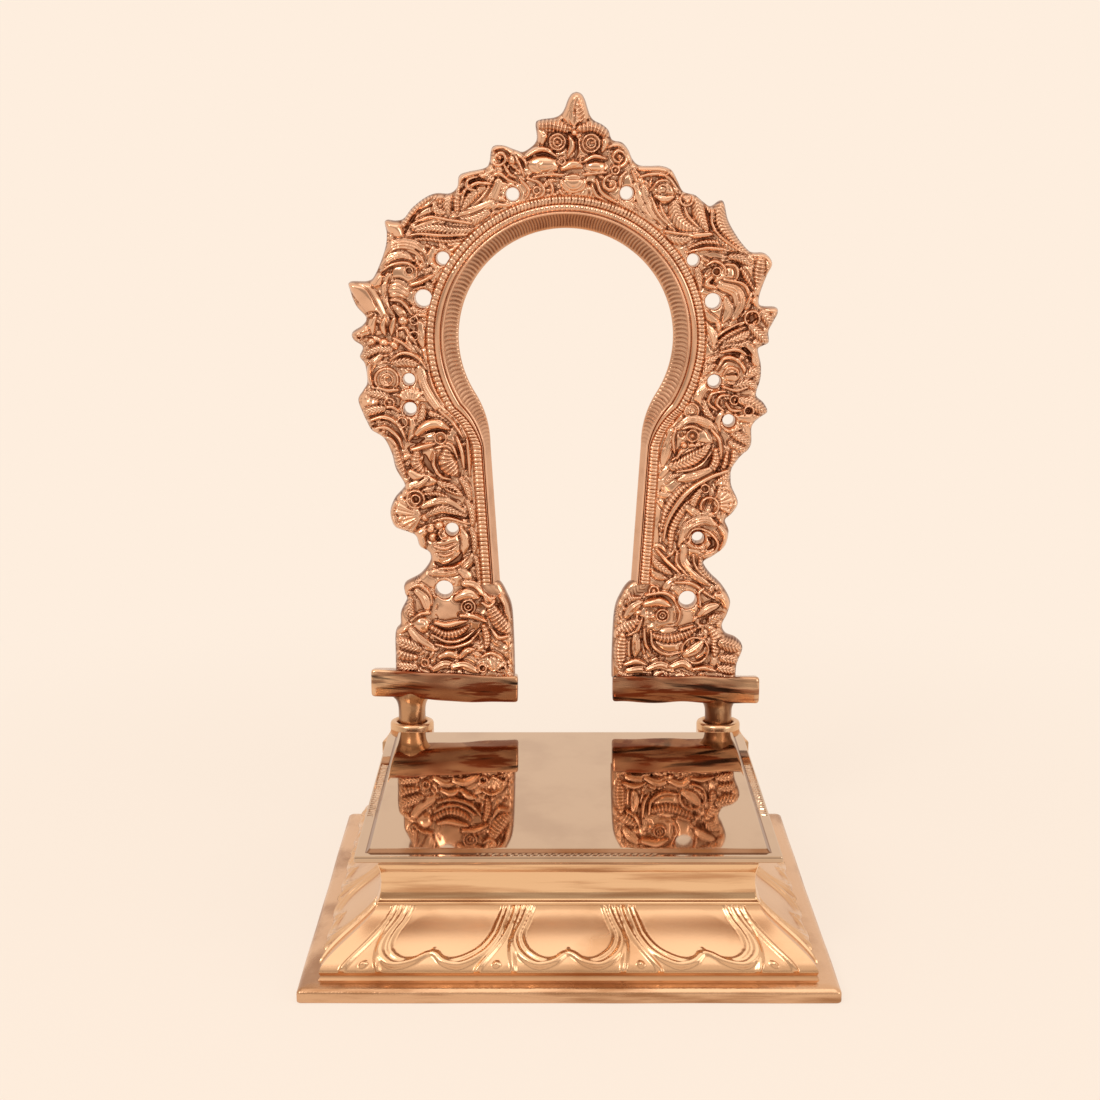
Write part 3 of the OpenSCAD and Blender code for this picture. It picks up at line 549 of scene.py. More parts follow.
for name, x in SOCKETS.items():
    points = turned_piece(SOCKET_WAY, x, SOCKET_Y)
    # The bore is painted dark as shade; the boss outside its rim is not
    dark = np.interp([r for r, _ in SOCKET_WAY], *SOCKET_SHADE)
    make_piece("socket_boss_" + name, points, tube_faces(points), polished, "pedestal", "pedestal_bronze",
               ["socket_" + name], sharp=50, hollow=np.broadcast_to(dark[:, None], points.shape[:2]))
    # The lug: an upright block that is splayed towards the slab
    back = np.linspace(0, 1, 14)
    half = LUG_HALF + LUG_SPLAY * (1 - back) ** 2
    deep = LUG_FROM + (LUG_TO - LUG_FROM) * back
    plan = np.concatenate([np.stack([x - half, deep], 1), np.stack([x + half, deep], 1)[::-1]])
    heights = np.array([LUG_LOW, LUG_LOW + LUG_BREAK_LOW, LUG_HIGH - LUG_BREAK_HIGH, LUG_HIGH])
    draw = np.array([LUG_BREAK, 1.0, 1.0, LUG_BREAK])
    heart = plan.mean(0)
    points = np.concatenate([np.broadcast_to(heart + (plan - heart) * draw[:, None, None], (4, *plan.shape)),
                             np.broadcast_to(heights[:, None, None], (4, len(plan), 1))], -1)
    make_piece("socket_lug_" + name, points, tube_faces(points), polished, "pedestal", "pedestal_bronze",
               ["socket_" + name], sharp=40, hollow=np.zeros(points.shape[:2]))


# Pegs: two round pegs under the foot bars, filed by hand to drop into the sockets.
# Bronze left as filed: eight faint flats, and a hollow flare where each runs into its bar.
PEG = [(0.4, 19.6), (3.0, 19.6), (3.45, 20.0), (3.6, 20.6), (3.6, 27.0), (3.6, 31.0), (3.58, 33.4),
       (3.62, 34.2), (3.76, 34.9), (4.0, 35.5), (4.4, 36.05), (4.95, 36.5), (5.4, 36.9), (5.6, 37.6),
       (5.4, 38.4), (0.4, 38.4)]
# How far each flare rises with its bar, from what height on and over how much of it
PEG_LIFT = {"left": 1.1, "right": 0.0}
LIFT_FROM, LIFT_OVER = 32, 5
# How deep the flare is from front to back, as a share of its width, by height
FLARE_DEEP = ([34, 37], [1, 0.66])
PEG_FLATS = 0.016
# Filed peg bronze: dull brown with paler upright streaks where the file and the socket have rubbed it.
peg_finish = bronze("filed_peg_bronze", "#C2956F", "#6A4029", rough=(0.24, 0.36), wave=(8, 0.06),
                    stain=((4, 4, 11), 0.42, 0.6, 0.9), lines=((0.8, 0.8, 8.0), 0.03, 0))
for name, x in SOCKETS.items():
    points = turned_piece(PEG, x, SOCKET_Y)
    flats = 1 - PEG_FLATS * np.abs(np.sin(4 * np.linspace(0, 2 * np.pi, points.shape[1], endpoint=False)))
    points[..., 0] = x + (points[..., 0] - x) * flats
    points[..., 1] = SOCKET_Y + (points[..., 1] - SOCKET_Y) * flats * np.interp(points[..., 2], *FLARE_DEEP)
    points[..., 2] += PEG_LIFT[name] * np.clip((points[..., 2] - LIFT_FROM) / LIFT_OVER, 0, 1)
    make_piece("peg_dressed_" + name, points, tube_faces(points), peg_finish, "arch", "filed_bronze",
               ["peg_" + name], sharp=50)


# Foot bars: the bar under each foot of the arch, cast with it and dressed with a hammer and a file.
# Bronze; the front is worked in two flats that meet along a wandering arris, browned and blackened by heat.
BAR_FROM, BAR_TO, BAR_LOW, BAR_HIGH, BAR_FRONT, BAR_BACK = 12.6, 51.5, 36.7, 44.2, 49.5, 57.5
BAR_SECTION = [(BAR_FRONT + 0.7, BAR_LOW), (BAR_BACK, BAR_LOW), (BAR_BACK, BAR_HIGH - 1.3),
               (BAR_FRONT + 0.5, BAR_HIGH), (BAR_FRONT, 40.2)]
BAR_EASE = 0.9
# Rounded ends: shares of the length, and how large the section is there
BAR_ENDS = ([0, 0.004, 0.012, 0.024, 0.976, 0.988, 0.996, 1], [0.84, 0.93, 0.98, 1, 1, 0.98, 0.93, 0.84])
# Cross sections between the ends, as shares of the length from and to, and how many
BAR_STOPS = (0.04, 0.96, 110)
# How far each bar rises towards its outer end, and with what power of the length
BAR_BEND, BEND_POWER = {"left": 1.8, "right": -0.3}, 1.2
# Dents and heat streaks: how strong, how the bar is stretched for them, their length in mm and their seed; a
# dent goes as deep as it is strong where the bar is this far from its middle line
BAR_DENTS = ((0.3, (0.6, 1, 1), 11, 5), (0.16, (0.5, 1, 1.4), 4.5, 8))
BAR_STREAKS = (0.25, (0.4, 1, 1.5), 5, 14)
DENT_FROM = 4
# Heat marks on each bar, as places along it from the middle of the arch and how brown the bar is there
BAR_BROWN = {"left": ([13, 20, 30, 40, 45, 48, 52], [0.6, 0.75, 0.75, 0.9, 0.5, 0.05, 0.0]),
             "right": ([13, 20, 30, 40, 45, 52], [0.9, 0.85, 0.75, 0.6, 0.5, 0.25])}
# Tarnished bronze: red-brown from the heat, glossy, with black and with rubbed streaks along the bar.
tarnished = bronze("tarnished_filed_bronze", "#E6BC95", "#84452A", rough=(0.15, 0.25),
                   stain=((13, 13, 1.5), 0.5, 0.6, 0.5), lines=((16.0, 16.0, 0.7), 0.03, 8), wave=(6, 0.16),
                   hollow=0.9, soot=("#3A261D", (14, 14, 1.2), 0.53, 0.69, 6))
section = eased(BAR_SECTION, BAR_EASE, 5)
middle = section.mean(0)
stops = np.concatenate([BAR_ENDS[0][:4], np.linspace(*BAR_STOPS), BAR_ENDS[0][4:]])
cut = middle + (section - middle) * np.interp(stops, *BAR_ENDS)[:, None, None]
for name, side in (("left", -1), ("right", 1)):
    x = side * (BAR_FROM + (BAR_TO - BAR_FROM) * stops)
    points = np.concatenate([np.broadcast_to(x[:, None, None], (*cut.shape[:2], 1)), cut], -1)
    dents = sum(much * uneven(points * stretch, length, seed + side)
                for much, stretch, length, seed in BAR_DENTS)
    points[..., 1:] += (cut - middle) / DENT_FROM * dents[..., None]
    points[..., 2] += BAR_BEND[name] * stops[:, None] ** BEND_POWER
    much, stretch, length, seed = BAR_STREAKS
    brown = np.interp(np.abs(points[..., 0]), *BAR_BROWN[name])
    brown = brown + much * uneven(points * stretch, length, seed + side)
    make_piece("foot_bar_dressed_" + name, points, tube_faces(points), tarnished, "arch", "filed_bronze",
               ["foot_bar_" + name], sharp=50, hollow=np.clip(brown, 0, 1))


# Arch plate: the pierced plate of the arch with its lobed rim, one casting with all the ornament on it.
# Bronze; its front is worked as one height over an even grid, drawn at 1 to 1.0092 and then set on the plate.
PLATE_FRONT, PLATE_BACK = 52.0, 56.0
DRAWN_TO, DRAWN_RIGHT, DRAWN_UP = 1.0092, 0.04, -1.67
HEAD_Z, HEAD_R, LEG_Z, CURVE_X, CURVE_Z, CURVE_R, WAIST = 134.0, 27.5, 70.0, 44.5, 106.14, 25.0, 32.05
LEG_FOOT, LEG_TOP, REVEAL_LEG, REVEAL_HEAD = 17.2, 19.5, 1.4, 3.8
# The drawing's left, right, foot and top; its grid, the step of its lines and how far off they are felt
BOX = (-57.5, 57.5, 42.5, 197.5)
STEP, LINE_STEP, EDGE_REACH, BAND_REACH = 0.18, 0.5, 3.2, 6.0
# The rim from the crown down to each foot and the inner edge of each foot block, as x and z in turn; then the
# holes, each with its radius
RIM_LEFT = [
    2.5, 195.2, 1.3, 194.7, 0.4, 193.3, -0.3, 191.4, -1.1, 190.0, -2.2, 189.2, -3.6, 188.8, -6.5, 188.4,
    -7.7, 187.4, -7.5, 183.2, -10.5, 180.6, -12.5, 180.9, -16, 182.1, -18.6, 181.6, -19.3, 178, -20.5, 176.5,
    -25, 175.5, -27, 174.5, -27.5, 171.7, -29.5, 170.2, -33, 170.2, -36, 168.9, -39, 166.5, -41, 164,
    -43, 163.4, -45.8, 163.4, -45.4, 160, -46, 156, -48.5, 149.9, -50.5, 148.2, -55, 148, -55, 146,
    -53.5, 142, -51, 139, -52, 137, -54.6, 135.2, -54.3, 133.3, -52, 131.5, -52.8, 129, -51.5, 127,
    -51, 122.5, -52, 120.5, -53.4, 118, -52.3, 114.5, -51.3, 112.3, -50, 110, -47, 108, -45, 104, -44, 100,
    -41.8, 96, -42.3, 94.6, -44.5, 92, -45.6, 88.5, -44.5, 84.8, -41, 83.4, -39, 82.3, -38, 79.5, -35.6, 78,
    -35.4, 75.5, -38, 72, -42, 69.6, -42.1, 67, -41.6, 65.4, -43.2, 62, -43.4, 58.6, -44.7, 56.5, -44.8, 50,
    -44.8, 44.3]
RIM_RIGHT = [
    2.5, 195.2, 3.7, 194.8, 4.6, 193.5, 5.3, 191.4, 6.0, 189.4, 7.0, 188.2, 9, 187.2, 10.6, 185.8,
    11.5, 183.5, 14, 182.8, 15.6, 181, 16.7, 178.6, 18.3, 177.2, 21, 177, 24, 177, 26.5, 176, 28, 173.5,
    29.5, 170.7, 32.5, 169.8, 34.5, 168.2, 36.5, 167, 38.8, 168.4, 39.9, 167.8, 41, 163.5, 43.5, 159.2,
    46, 156.2, 47.5, 155.4, 50.5, 155.2, 52.4, 152.7, 51, 149.5, 49.4, 145, 49.2, 142.5, 50.4, 141.8,
    53.5, 141.6, 54.1, 140.3, 53, 138, 51.8, 135.5, 51.9, 132.7, 50.2, 131.7, 49.2, 130.8, 50, 127, 50, 123.5,
    49, 120, 49.2, 118.6, 51, 117, 51.9, 114.8, 50, 113.3, 48, 111, 47.8, 106, 45, 103, 43, 100, 42.8, 97,
    43.2, 95, 44.8, 91, 43, 88, 41.5, 86.4, 42.5, 83.5, 41.5, 79.5, 38.5, 77, 36.2, 75.6, 36.3, 74.4, 38, 72,
    41, 69, 43.2, 65, 42.5, 61.5, 41.2, 58.5, 42.2, 56, 45, 54.7, 46.7, 52.3, 45.3, 48, 45, 44.3]
FOOT_LEFT = [-13.3, 44.3, -13.3, 47, -13.5, 55, -14, 63, -15.4, 67, -17, 69.8, -18.6, 70.6, -19.8, 70.8]
FOOT_RIGHT = [12.2, 44.3, 12.2, 50, 12.8, 62, 14.6, 67, 16.4, 69.6, 18.2, 70.5, 19.8, 70.8]
HOLES = [(-13.5, 170, 1.55), (-31.2, 154, 1.55), (-36.3, 143.9, 2.1), (-40.2, 123.3, 1.4), (-40, 115.7, 1.55),
         (-29.5, 84.3, 1.5), (-31.7, 68.3, 2.15), (15.2, 170.3, 1.55), (32.2, 153.6, 1.45),
         (37.4, 143.2, 1.9), (38, 122.8, 1.55), (41.9, 112.7, 1.45), (34.4, 82, 1.4), (31.9, 65.5, 2.15)]
# Depth of the groove beside each modelled strand
ORNAMENT_GROOVE = 0.35


def opening_line(step):
    """The edge of the opening from the left foot over the crown to the right foot, and its reveal's width.

    Right half: a straight limb from the foot, an arc about (CURVE_X, CURVE_Z) that turns by WAIST degrees,
    and an arc of HEAD_R about the head's middle up to the crown; the left half is its mirror image.
    """
    climb = np.linspace(0, 1, 60)
    limb = np.stack([LEG_FOOT + (LEG_TOP - LEG_FOOT) * climb, LEG_Z + (CURVE_Z - LEG_Z) * climb], 1)
    bend = np.linspace(0, 1, 40)[1:]
    a = np.radians(180 - WAIST * bend)
    waist = np.stack([CURVE_X + CURVE_R * np.cos(a), CURVE_Z + CURVE_R * np.sin(a)], 1)
    b = np.radians(np.linspace(-WAIST, 90, 160)[1:])
    head = np.stack([HEAD_R * np.cos(b), HEAD_Z + HEAD_R * np.sin(b)], 1)
    wide = np.concatenate([np.full(len(climb), REVEAL_LEG), REVEAL_LEG + (REVEAL_HEAD - REVEAL_LEG) * bend,
                           np.full(len(b), REVEAL_HEAD)])
    half = np.column_stack([np.concatenate([limb, waist, head]), wide])
    whole = np.concatenate([half * (-1, 1, 1), half[-2::-1]])
    run = run_along(whole[:, :2])
    even = np.linspace(0, run[-1], int(run[-1] / step))
    return np.stack([np.interp(even, run, whole[:, k]) for k in range(3)], 1), even


def on_plate(x, y, z):
    """Places on the arch from the drawing: x and z are enlarged and shifted, y stays."""
    y = np.broadcast_to(y, np.shape(x))
    return np.stack([x * DRAWN_TO + DRAWN_RIGHT, y, z * DRAWN_TO + DRAWN_UP], -1)


def distance(face, line, reach):
    """Distance of each grid point from a line, worked out leg by leg in a window and cut off at reach."""
    away = np.full(face["h"].shape, reach)
    for a, b in zip(line[:-1], line[1:]):
        leg = np.stack([a, b])
        if np.allclose(a, b):
            continue
        rows, cols = window(face, leg.min(0) - reach, leg.max(0) + reach)
        gap = nearest(leg, face["x"][rows, cols], face["z"][rows, cols])[0]
        away[rows, cols] = np.minimum(away[rows, cols], gap)
    return away


def inside_of(face, loop):
    """Grid points inside a closed loop: along each row, a point is inside past an odd number of crossings."""
    z = face["z"][:, 0]
    x0 = face["x"][0, 0]
    marks = np.zeros(np.add(face["h"].shape, (0, 1)), int)
    for a, b in zip(loop, np.roll(loop, -1, 0)):
        rows = np.flatnonzero((z >= min(a[1], b[1])) & (z < max(a[1], b[1])))
        crossing = a[0] + (z[rows] - a[1]) / (b[1] - a[1] or 1.0) * (b[0] - a[0])
        cols = np.clip(np.ceil((crossing - x0) / face["step"][1]).astype(int), 0, face["h"].shape[1])
        np.add.at(marks, (rows, cols), 1)
    return np.cumsum(marks, 1)[:, :-1] % 2 == 1


grid_x, grid_z = np.meshgrid(np.arange(BOX[0], BOX[1], STEP), np.arange(BOX[2], BOX[3], STEP))
arch = {"x": grid_x, "z": grid_z, "step": np.array([STEP, STEP]),
        **{key: np.zeros_like(grid_x) for key in ("h", "phase", "marks")}}
opening, _ = opening_line(LINE_STEP)
plate_edge = opening[:, :2] + outward(opening[:, :2]) * opening[:, 2:]
rim_left, rim_right, foot_left, foot_right = (smooth_line(np.reshape(line, (-1, 2)), LINE_STEP)
                                              for line in (RIM_LEFT, RIM_RIGHT, FOOT_LEFT, FOOT_RIGHT))
free_rim = np.concatenate([rim_left[::-1], rim_right[1:]])
outline = np.concatenate([free_rim, foot_right, plate_edge[::-1][1:-1], foot_left[::-1]])
edge_gap = np.min([distance(arch, line, EDGE_REACH) for line in (free_rim, foot_left, foot_right)], axis=0)
inner_gap = distance(arch, plate_edge, BAND_REACH)
within = inside_of(arch, outline)

# Ground of leaves: short curved leaves laid along the band and turned by slow waves, under the larger forms
# How many, how far from the opening, how far they swing in the waves and stray, in radians, and their hook
LEAF_COUNT, LEAF_CLEAR, LEAF_SWING, LEAF_STRAY, LEAF_HOOK = 520, 3.5, 1.5, 0.35, 0.9
LEAF_HALF, LEAF_WIDTH, LEAF_RISE, LEAF_BED, LEAF_GROOVE = (1.8, 3.6), (1.2, 2.3), (0.55, 1.0), 0.5, 0.3
LEAF_WAVES, LEAF_ENDS = (5.3, 7.1), (0.7, 0.35)
LEAF_KINDS = ("strand", "flute", "flute", "leaf")
GROUND_HIGH, GROUND_OFF, GROUND_WAVE = 0.75, 0.2, 7
rng = np.random.default_rng(11)
ground = np.stack([grid_x, np.zeros_like(grid_x), grid_z], -1)
arch["h"][:] = GROUND_HIGH + GROUND_OFF * uneven(ground, GROUND_WAVE, seed=12)
room = np.argwhere(within & (inner_gap > LEAF_CLEAR))
for pick in rng.integers(0, len(room), LEAF_COUNT):
    r, c = room[pick]
    x, z = grid_x[r, c], grid_z[r, c]
    near = np.argmin(np.hypot(opening[:, 0] - x, opening[:, 1] - z))
    way = outward(opening[max(near - 2, 0):near + 3, :2]).mean(0)
    swing = LEAF_SWING * np.sin(x / LEAF_WAVES[0] + z / LEAF_WAVES[1])
    turn = np.arctan2(way[1], way[0]) + swing + rng.normal(0, LEAF_STRAY)
    t = np.array([np.cos(turn), np.sin(turn)])
    n = np.array([-t[1], t[0]]) * rng.choice([-1, 1]) * LEAF_HOOK
    half = rng.uniform(*LEAF_HALF)
    spot = np.array([x, z])
    kind = LEAF_KINDS[rng.integers(len(LEAF_KINDS))]
    lay(arch, kind, rng.uniform(*LEAF_WIDTH), LEAF_BED, rng.uniform(*LEAF_RISE),
        [spot - t * half + n, spot, spot + t * half + n], LEAF_ENDS, LEAF_GROOVE)


def scroll(face, size, bed, rise, x, z, start, turns):
    """A rolled strand about a boss: its radius falls from 0.8 of size to 0.16 in even steps of angle.

    The roll begins at the angle start, in degrees, and goes on for some turns.
    """
    q = np.linspace(0, 1, 14 + int(18 * abs(turns)))
    a = np.radians(start) + 2 * np.pi * turns * q
    r = 0.8 * size * (1 - 0.8 * q)
    strand = np.stack([x + r * np.cos(a), z + r * np.sin(a)], 1)
    lay(face, "strand", 0.46 * size, bed, rise, strand, (0.7, 0.6), 0.3)
    boss(face, 0.26 * size, bed, rise * 1.05, x, z)


def fan(face, size, bed, rise, x, z, start, stop, ribs):
    """A shell of ribs from a hub, between the angles start and stop in degrees.

    A rib is |sin(n pi (a - start) / (stop - start))| ^ 0.7 by angle; the shell rises by 0.6 + 0.4 rib, and
    it is rounded over at its end.
    """
    at_x, at_z, h, _, marks = patch(face, (x - size - 1, z - size - 1), (x + size + 1, z + size + 1))
    dx, dz = at_x - x, at_z - z
    share = np.mod(np.degrees(np.arctan2(dz, dx)) - start, 360) / (stop - start)
    rib = np.abs(np.sin(ribs * np.pi * share)) ** 0.7
    reach = np.hypot(dx, dz) / (size * (0.9 + 0.1 * rib))
    body = bed + rise * (0.6 + 0.4 * rib) * np.sqrt(np.clip(1 - np.abs(reach * 1.15 - 0.25) ** 3, 0, 1))
    h[:] = np.where((share < 1) & (reach < 1), body, h)
    marks *= (share >= 1) | (reach >= 1)


def bowl(face, size, bed, rise, x, z, tall):
    """A long boss: rise * (1 - (dx / size)^2 - (dz / tall)^2) ^ 0.7 over its bed."""
    at_x, at_z, h, _, marks = patch(face, (x - size, z - tall), (x + size, z + tall))
    gap = np.hypot((at_x - x) / size, (at_z - z) / tall)
    h[:] = np.where(gap < 1, bed + rise * rounded(gap), h)
    marks *= gap >= 1


def pit(face, size, depth, x, z):
    """A hollow: the face goes down by depth * (1 - (d / r)^2)."""
    at_x, at_z, h, _, _ = patch(face, (x - size, z - size), (x + size, z + size))
    gap = np.hypot(at_x - x, at_z - z) / size
    h -= depth * np.clip(1 - gap ** 2, 0, 1)


def cut(face, width, depth, points):
    """A chased line: the face goes down by depth * (1 - u^2) across it, narrowing with sin(pi q) ^ 0.6."""
    line = smooth_line(np.reshape(points, (-1, 2)))
    x, z, h, _, _ = patch(face, line.min(0) - width, line.max(0) + width)
    gap, run, _ = nearest(line, x, z)
    q = np.clip(run / np.hypot(*np.diff(line, axis=0).T).sum(), 0, 1)
    half = 0.5 * width * (0.35 + 0.65 * np.sin(np.pi * q) ** 0.6)
    h -= depth * np.clip(1 - (gap / half) ** 2, 0, 1)


def ornament(face, rows):
    """Works rows of (form, stroke, stroke, ...) into a face in order, each over the ones before it.

    A stroke is (size, height, numbers ...), and for a cut or a strand of any kind the numbers are x and z in
    turn. A raised form lies on a bed of 0.2 + 0.16 height and rises by 0.7 height; a pit goes down by that.
    """
    raised = {"boss": boss, "bowl": bowl, "scroll": scroll, "fan": fan}
    for form, *strokes in rows:
        for size, height, *numbers in strokes:
            bed, rise = 0.2 + 0.16 * height, 0.7 * height
            if form in raised:
                raised[form](face, size, bed, rise, *numbers)
            elif form == "pit":
                pit(face, size, rise, *numbers)
            elif form == "cut":
                cut(face, size, height, numbers)
            else:
                lay(face, form, size, bed, rise, numbers, groove=ORNAMENT_GROOVE)


# Crest: the kirtimukha mask at the crown, with a leaf crest, ringed eyes, lidded cheeks and a hanging tongue.
# Modelled in wax on the plate and cast with it, then chased; a curl rolls up at each side.
ornament(arch, [
    ("strand", (1.3, 1.5, -19.6, 173.6, -17, 175.2, -14.4, 173.6, -12.4, 172.8),
     (1.3, 1.6, -9.8, 174, -6.9, 173, -5.6, 171, -6.8, 169.2, -9.2, 168.8),
     (1.2, 1.5, -11.4, 173.6, -9.4, 171.2, -10.2, 168.8)), ("boss", (1.2, 1.6, -7.4, 171, 0.7)),
    ("strand", (1.2, 1.5, -4.4, 173.6, -3.3, 171.4, -4, 169.4),
     (1.2, 1.5, -1.6, 171, -0.6, 169.6, 0.4, 169.2)), ("scroll", (2.7, 1.7, 11.2, 172.6, 90, 1.2)),
    ("strand", (1.4, 1.6, 7.6, 173.6, 8.9, 170.4, 13, 167.8), (1.2, 1.5, 6.4, 172.4, 7.6, 169.8, 10, 168.2),
     (1.2, 1.5, 16.6, 175.6, 17.8, 172.4, 17, 168.2), (1.3, 1.5, 14.8, 175.4, 13.6, 174, 13.6, 171.6)),
    ("scroll", (2.6, 2, -16.7, 179, 200, 1.3)), ("pit", (0.8, 1, -17, 178.6)),
    ("strand", (1.4, 2, -19, 180.8, -15.8, 181.8, -13.2, 180, -11.4, 176.8, -10.6, 174.4),
     (1.3, 1.9, -15.4, 177, -14.2, 175, -12.4, 174)), ("bowl", (1.2, 2, -13.6, 178.4, 1.6)),
    ("cut", (1.3, 0.8, -14.2, 176.8, -13, 175.6, -12, 175.4)),
    ("strand", (1.3, 1.9, -12.8, 180.6, -10.6, 178.6, -9.8, 176.6)),
    ("scroll", (3.1, 1.9, 13.2, 179.2, 240, 1.4)), ("pit", (1.1, 1.2, 12.6, 178.8)),
    ("boss", (1.3, 1.9, 12.3, 176, 0.7), (0.5, 1.9, 12.3, 176)),
    ("strand", (1.3, 1.8, 10.4, 181.6, 13, 182.2, 15.6, 180, 16.2, 177.4)), ("boss", (8.2, 1.5, 2, 180.4)),
    ("strand", (3.4, 1.7, -6.2, 187.2, -6.1, 184.6, -6, 182.4), (2.6, 1.7, 9.6, 184.4, 9.4, 182.6, 9, 180.6),
     (6.8, 2.3, 2.1, 185.6, 2.3, 190, 2.5, 196.4)), ("cut", (0.7, 0.5, 1.9, 186.6, 2.1, 190, 2.3, 193.6),
     (0.5, 0.4, 0.5, 187.4, 0.9, 190.4, 1.6, 193), (0.6, 0.55, 2.7, 187.2, 3.6, 187.6, 4.6, 188.5),
     (0.6, 0.55, 2.7, 188.2, 3.6, 188.6, 4.6, 189.5), (0.6, 0.55, 2.7, 189.2, 3.5, 189.6, 4.4, 190.5),
     (0.6, 0.55, 2.7, 190.2, 3.5, 190.6, 4.3, 191.4), (0.6, 0.55, 2.7, 191.2, 3.4, 191.6, 4.1, 192.3),
     (0.6, 0.55, 2.7, 192.2, 3.3, 192.6, 3.8, 193.2)),
    ("comb", (3.6, 2.4, 0.6, 185.9, -3.2, 186.9, -8.2, 187.2), (3.6, 2.4, 3.4, 186.2, 7, 186.4, 11.6, 184.4)),
    ("boss", (2.5, 2, -2.2, 182.9), (2.3, 2.3, -2.2, 182.9, 0.8), (1.4, 2.4, -2.2, 182.9, 0.7),
     (0.6, 2.5, -2.2, 182.9), (2.7, 2, 6.2, 182.6), (2.5, 2.3, 6.2, 182.6, 0.8), (1.5, 2.4, 6.2, 182.6, 0.7)),
    ("pit", (0.9, 0.9, 6, 182.5)), ("boss", (0.5, 2.4, 6.4, 182.8)),
    ("strand", (2.3, 2.7, 1, 184.4, 1.4, 182, 0.4, 179.4)), ("boss", (1.1, 2.7, 2, 185.1)),
    ("cut", (1.2, 0.8, 0.5, 186, 1, 184.6, 2.5, 183.2, 2.7, 180.6, 1.7, 178.8, -0.6, 178.2)),
    ("bowl", (4.3, 2.3, -5.7, 177.2, 2.6)), ("cut", (0.5, 0.35, -8.6, 176.9, -5.6, 175.6, -2.8, 176.6),
     (0.4, 0.25, -7.6, 177.2, -5.6, 176.5, -3.6, 177)),
    ("strand", (1.8, 2.6, -10, 179.4, -7.7, 180.8, -5, 181, -2.5, 179.4)),
    ("cut", (1.1, 0.5, -7.2, 179.7, -5, 179.8, -2.6, 178.9)),
    ("strand", (2.8, 2.4, -0.8, 176.5, 1.7, 177.5, 4.3, 176.8)), ("boss", (1.1, 2.5, -1.1, 178.2, 0.6),
     (1, 2.4, 4.1, 178.7, 0.6)), ("bowl", (3.1, 2.2, 7.2, 176.7, 2.2)),
    ("cut", (0.45, 0.3, 5, 176.6, 7.2, 175.4, 9.2, 176.4)),
    ("strand", (1.6, 2.6, 4.5, 178.2, 7, 179.4, 10, 178.8)),
    ("cut", (0.9, 0.45, 5.1, 177.7, 7.2, 178.3, 9.4, 177.9)),
    ("strand", (1.3, 1.9, -8.2, 174.3, -4, 174.9, 1.6, 174.6, 6, 175.1, 10.2, 175.4)),
    ("bowl", (3.6, 2.3, 1.8, 172.8, 2.7)),
    ("cut", (0.5, 0.35, -1.2, 173.8, -0.2, 171.8, 1.8, 170.8, 3.8, 171.7, 4.8, 173.8),
     (0.4, 0.25, -0.2, 173.7, 0.6, 172.3, 1.8, 171.8, 3, 172.3, 3.9, 173.7),
     (0.8, 0.5, -1.8, 174, 1.8, 173.9, 5.2, 174.1)), ("pit", (0.9, 0.7, -2.4, 172), (0.9, 0.7, 5.8, 172.4)),
])


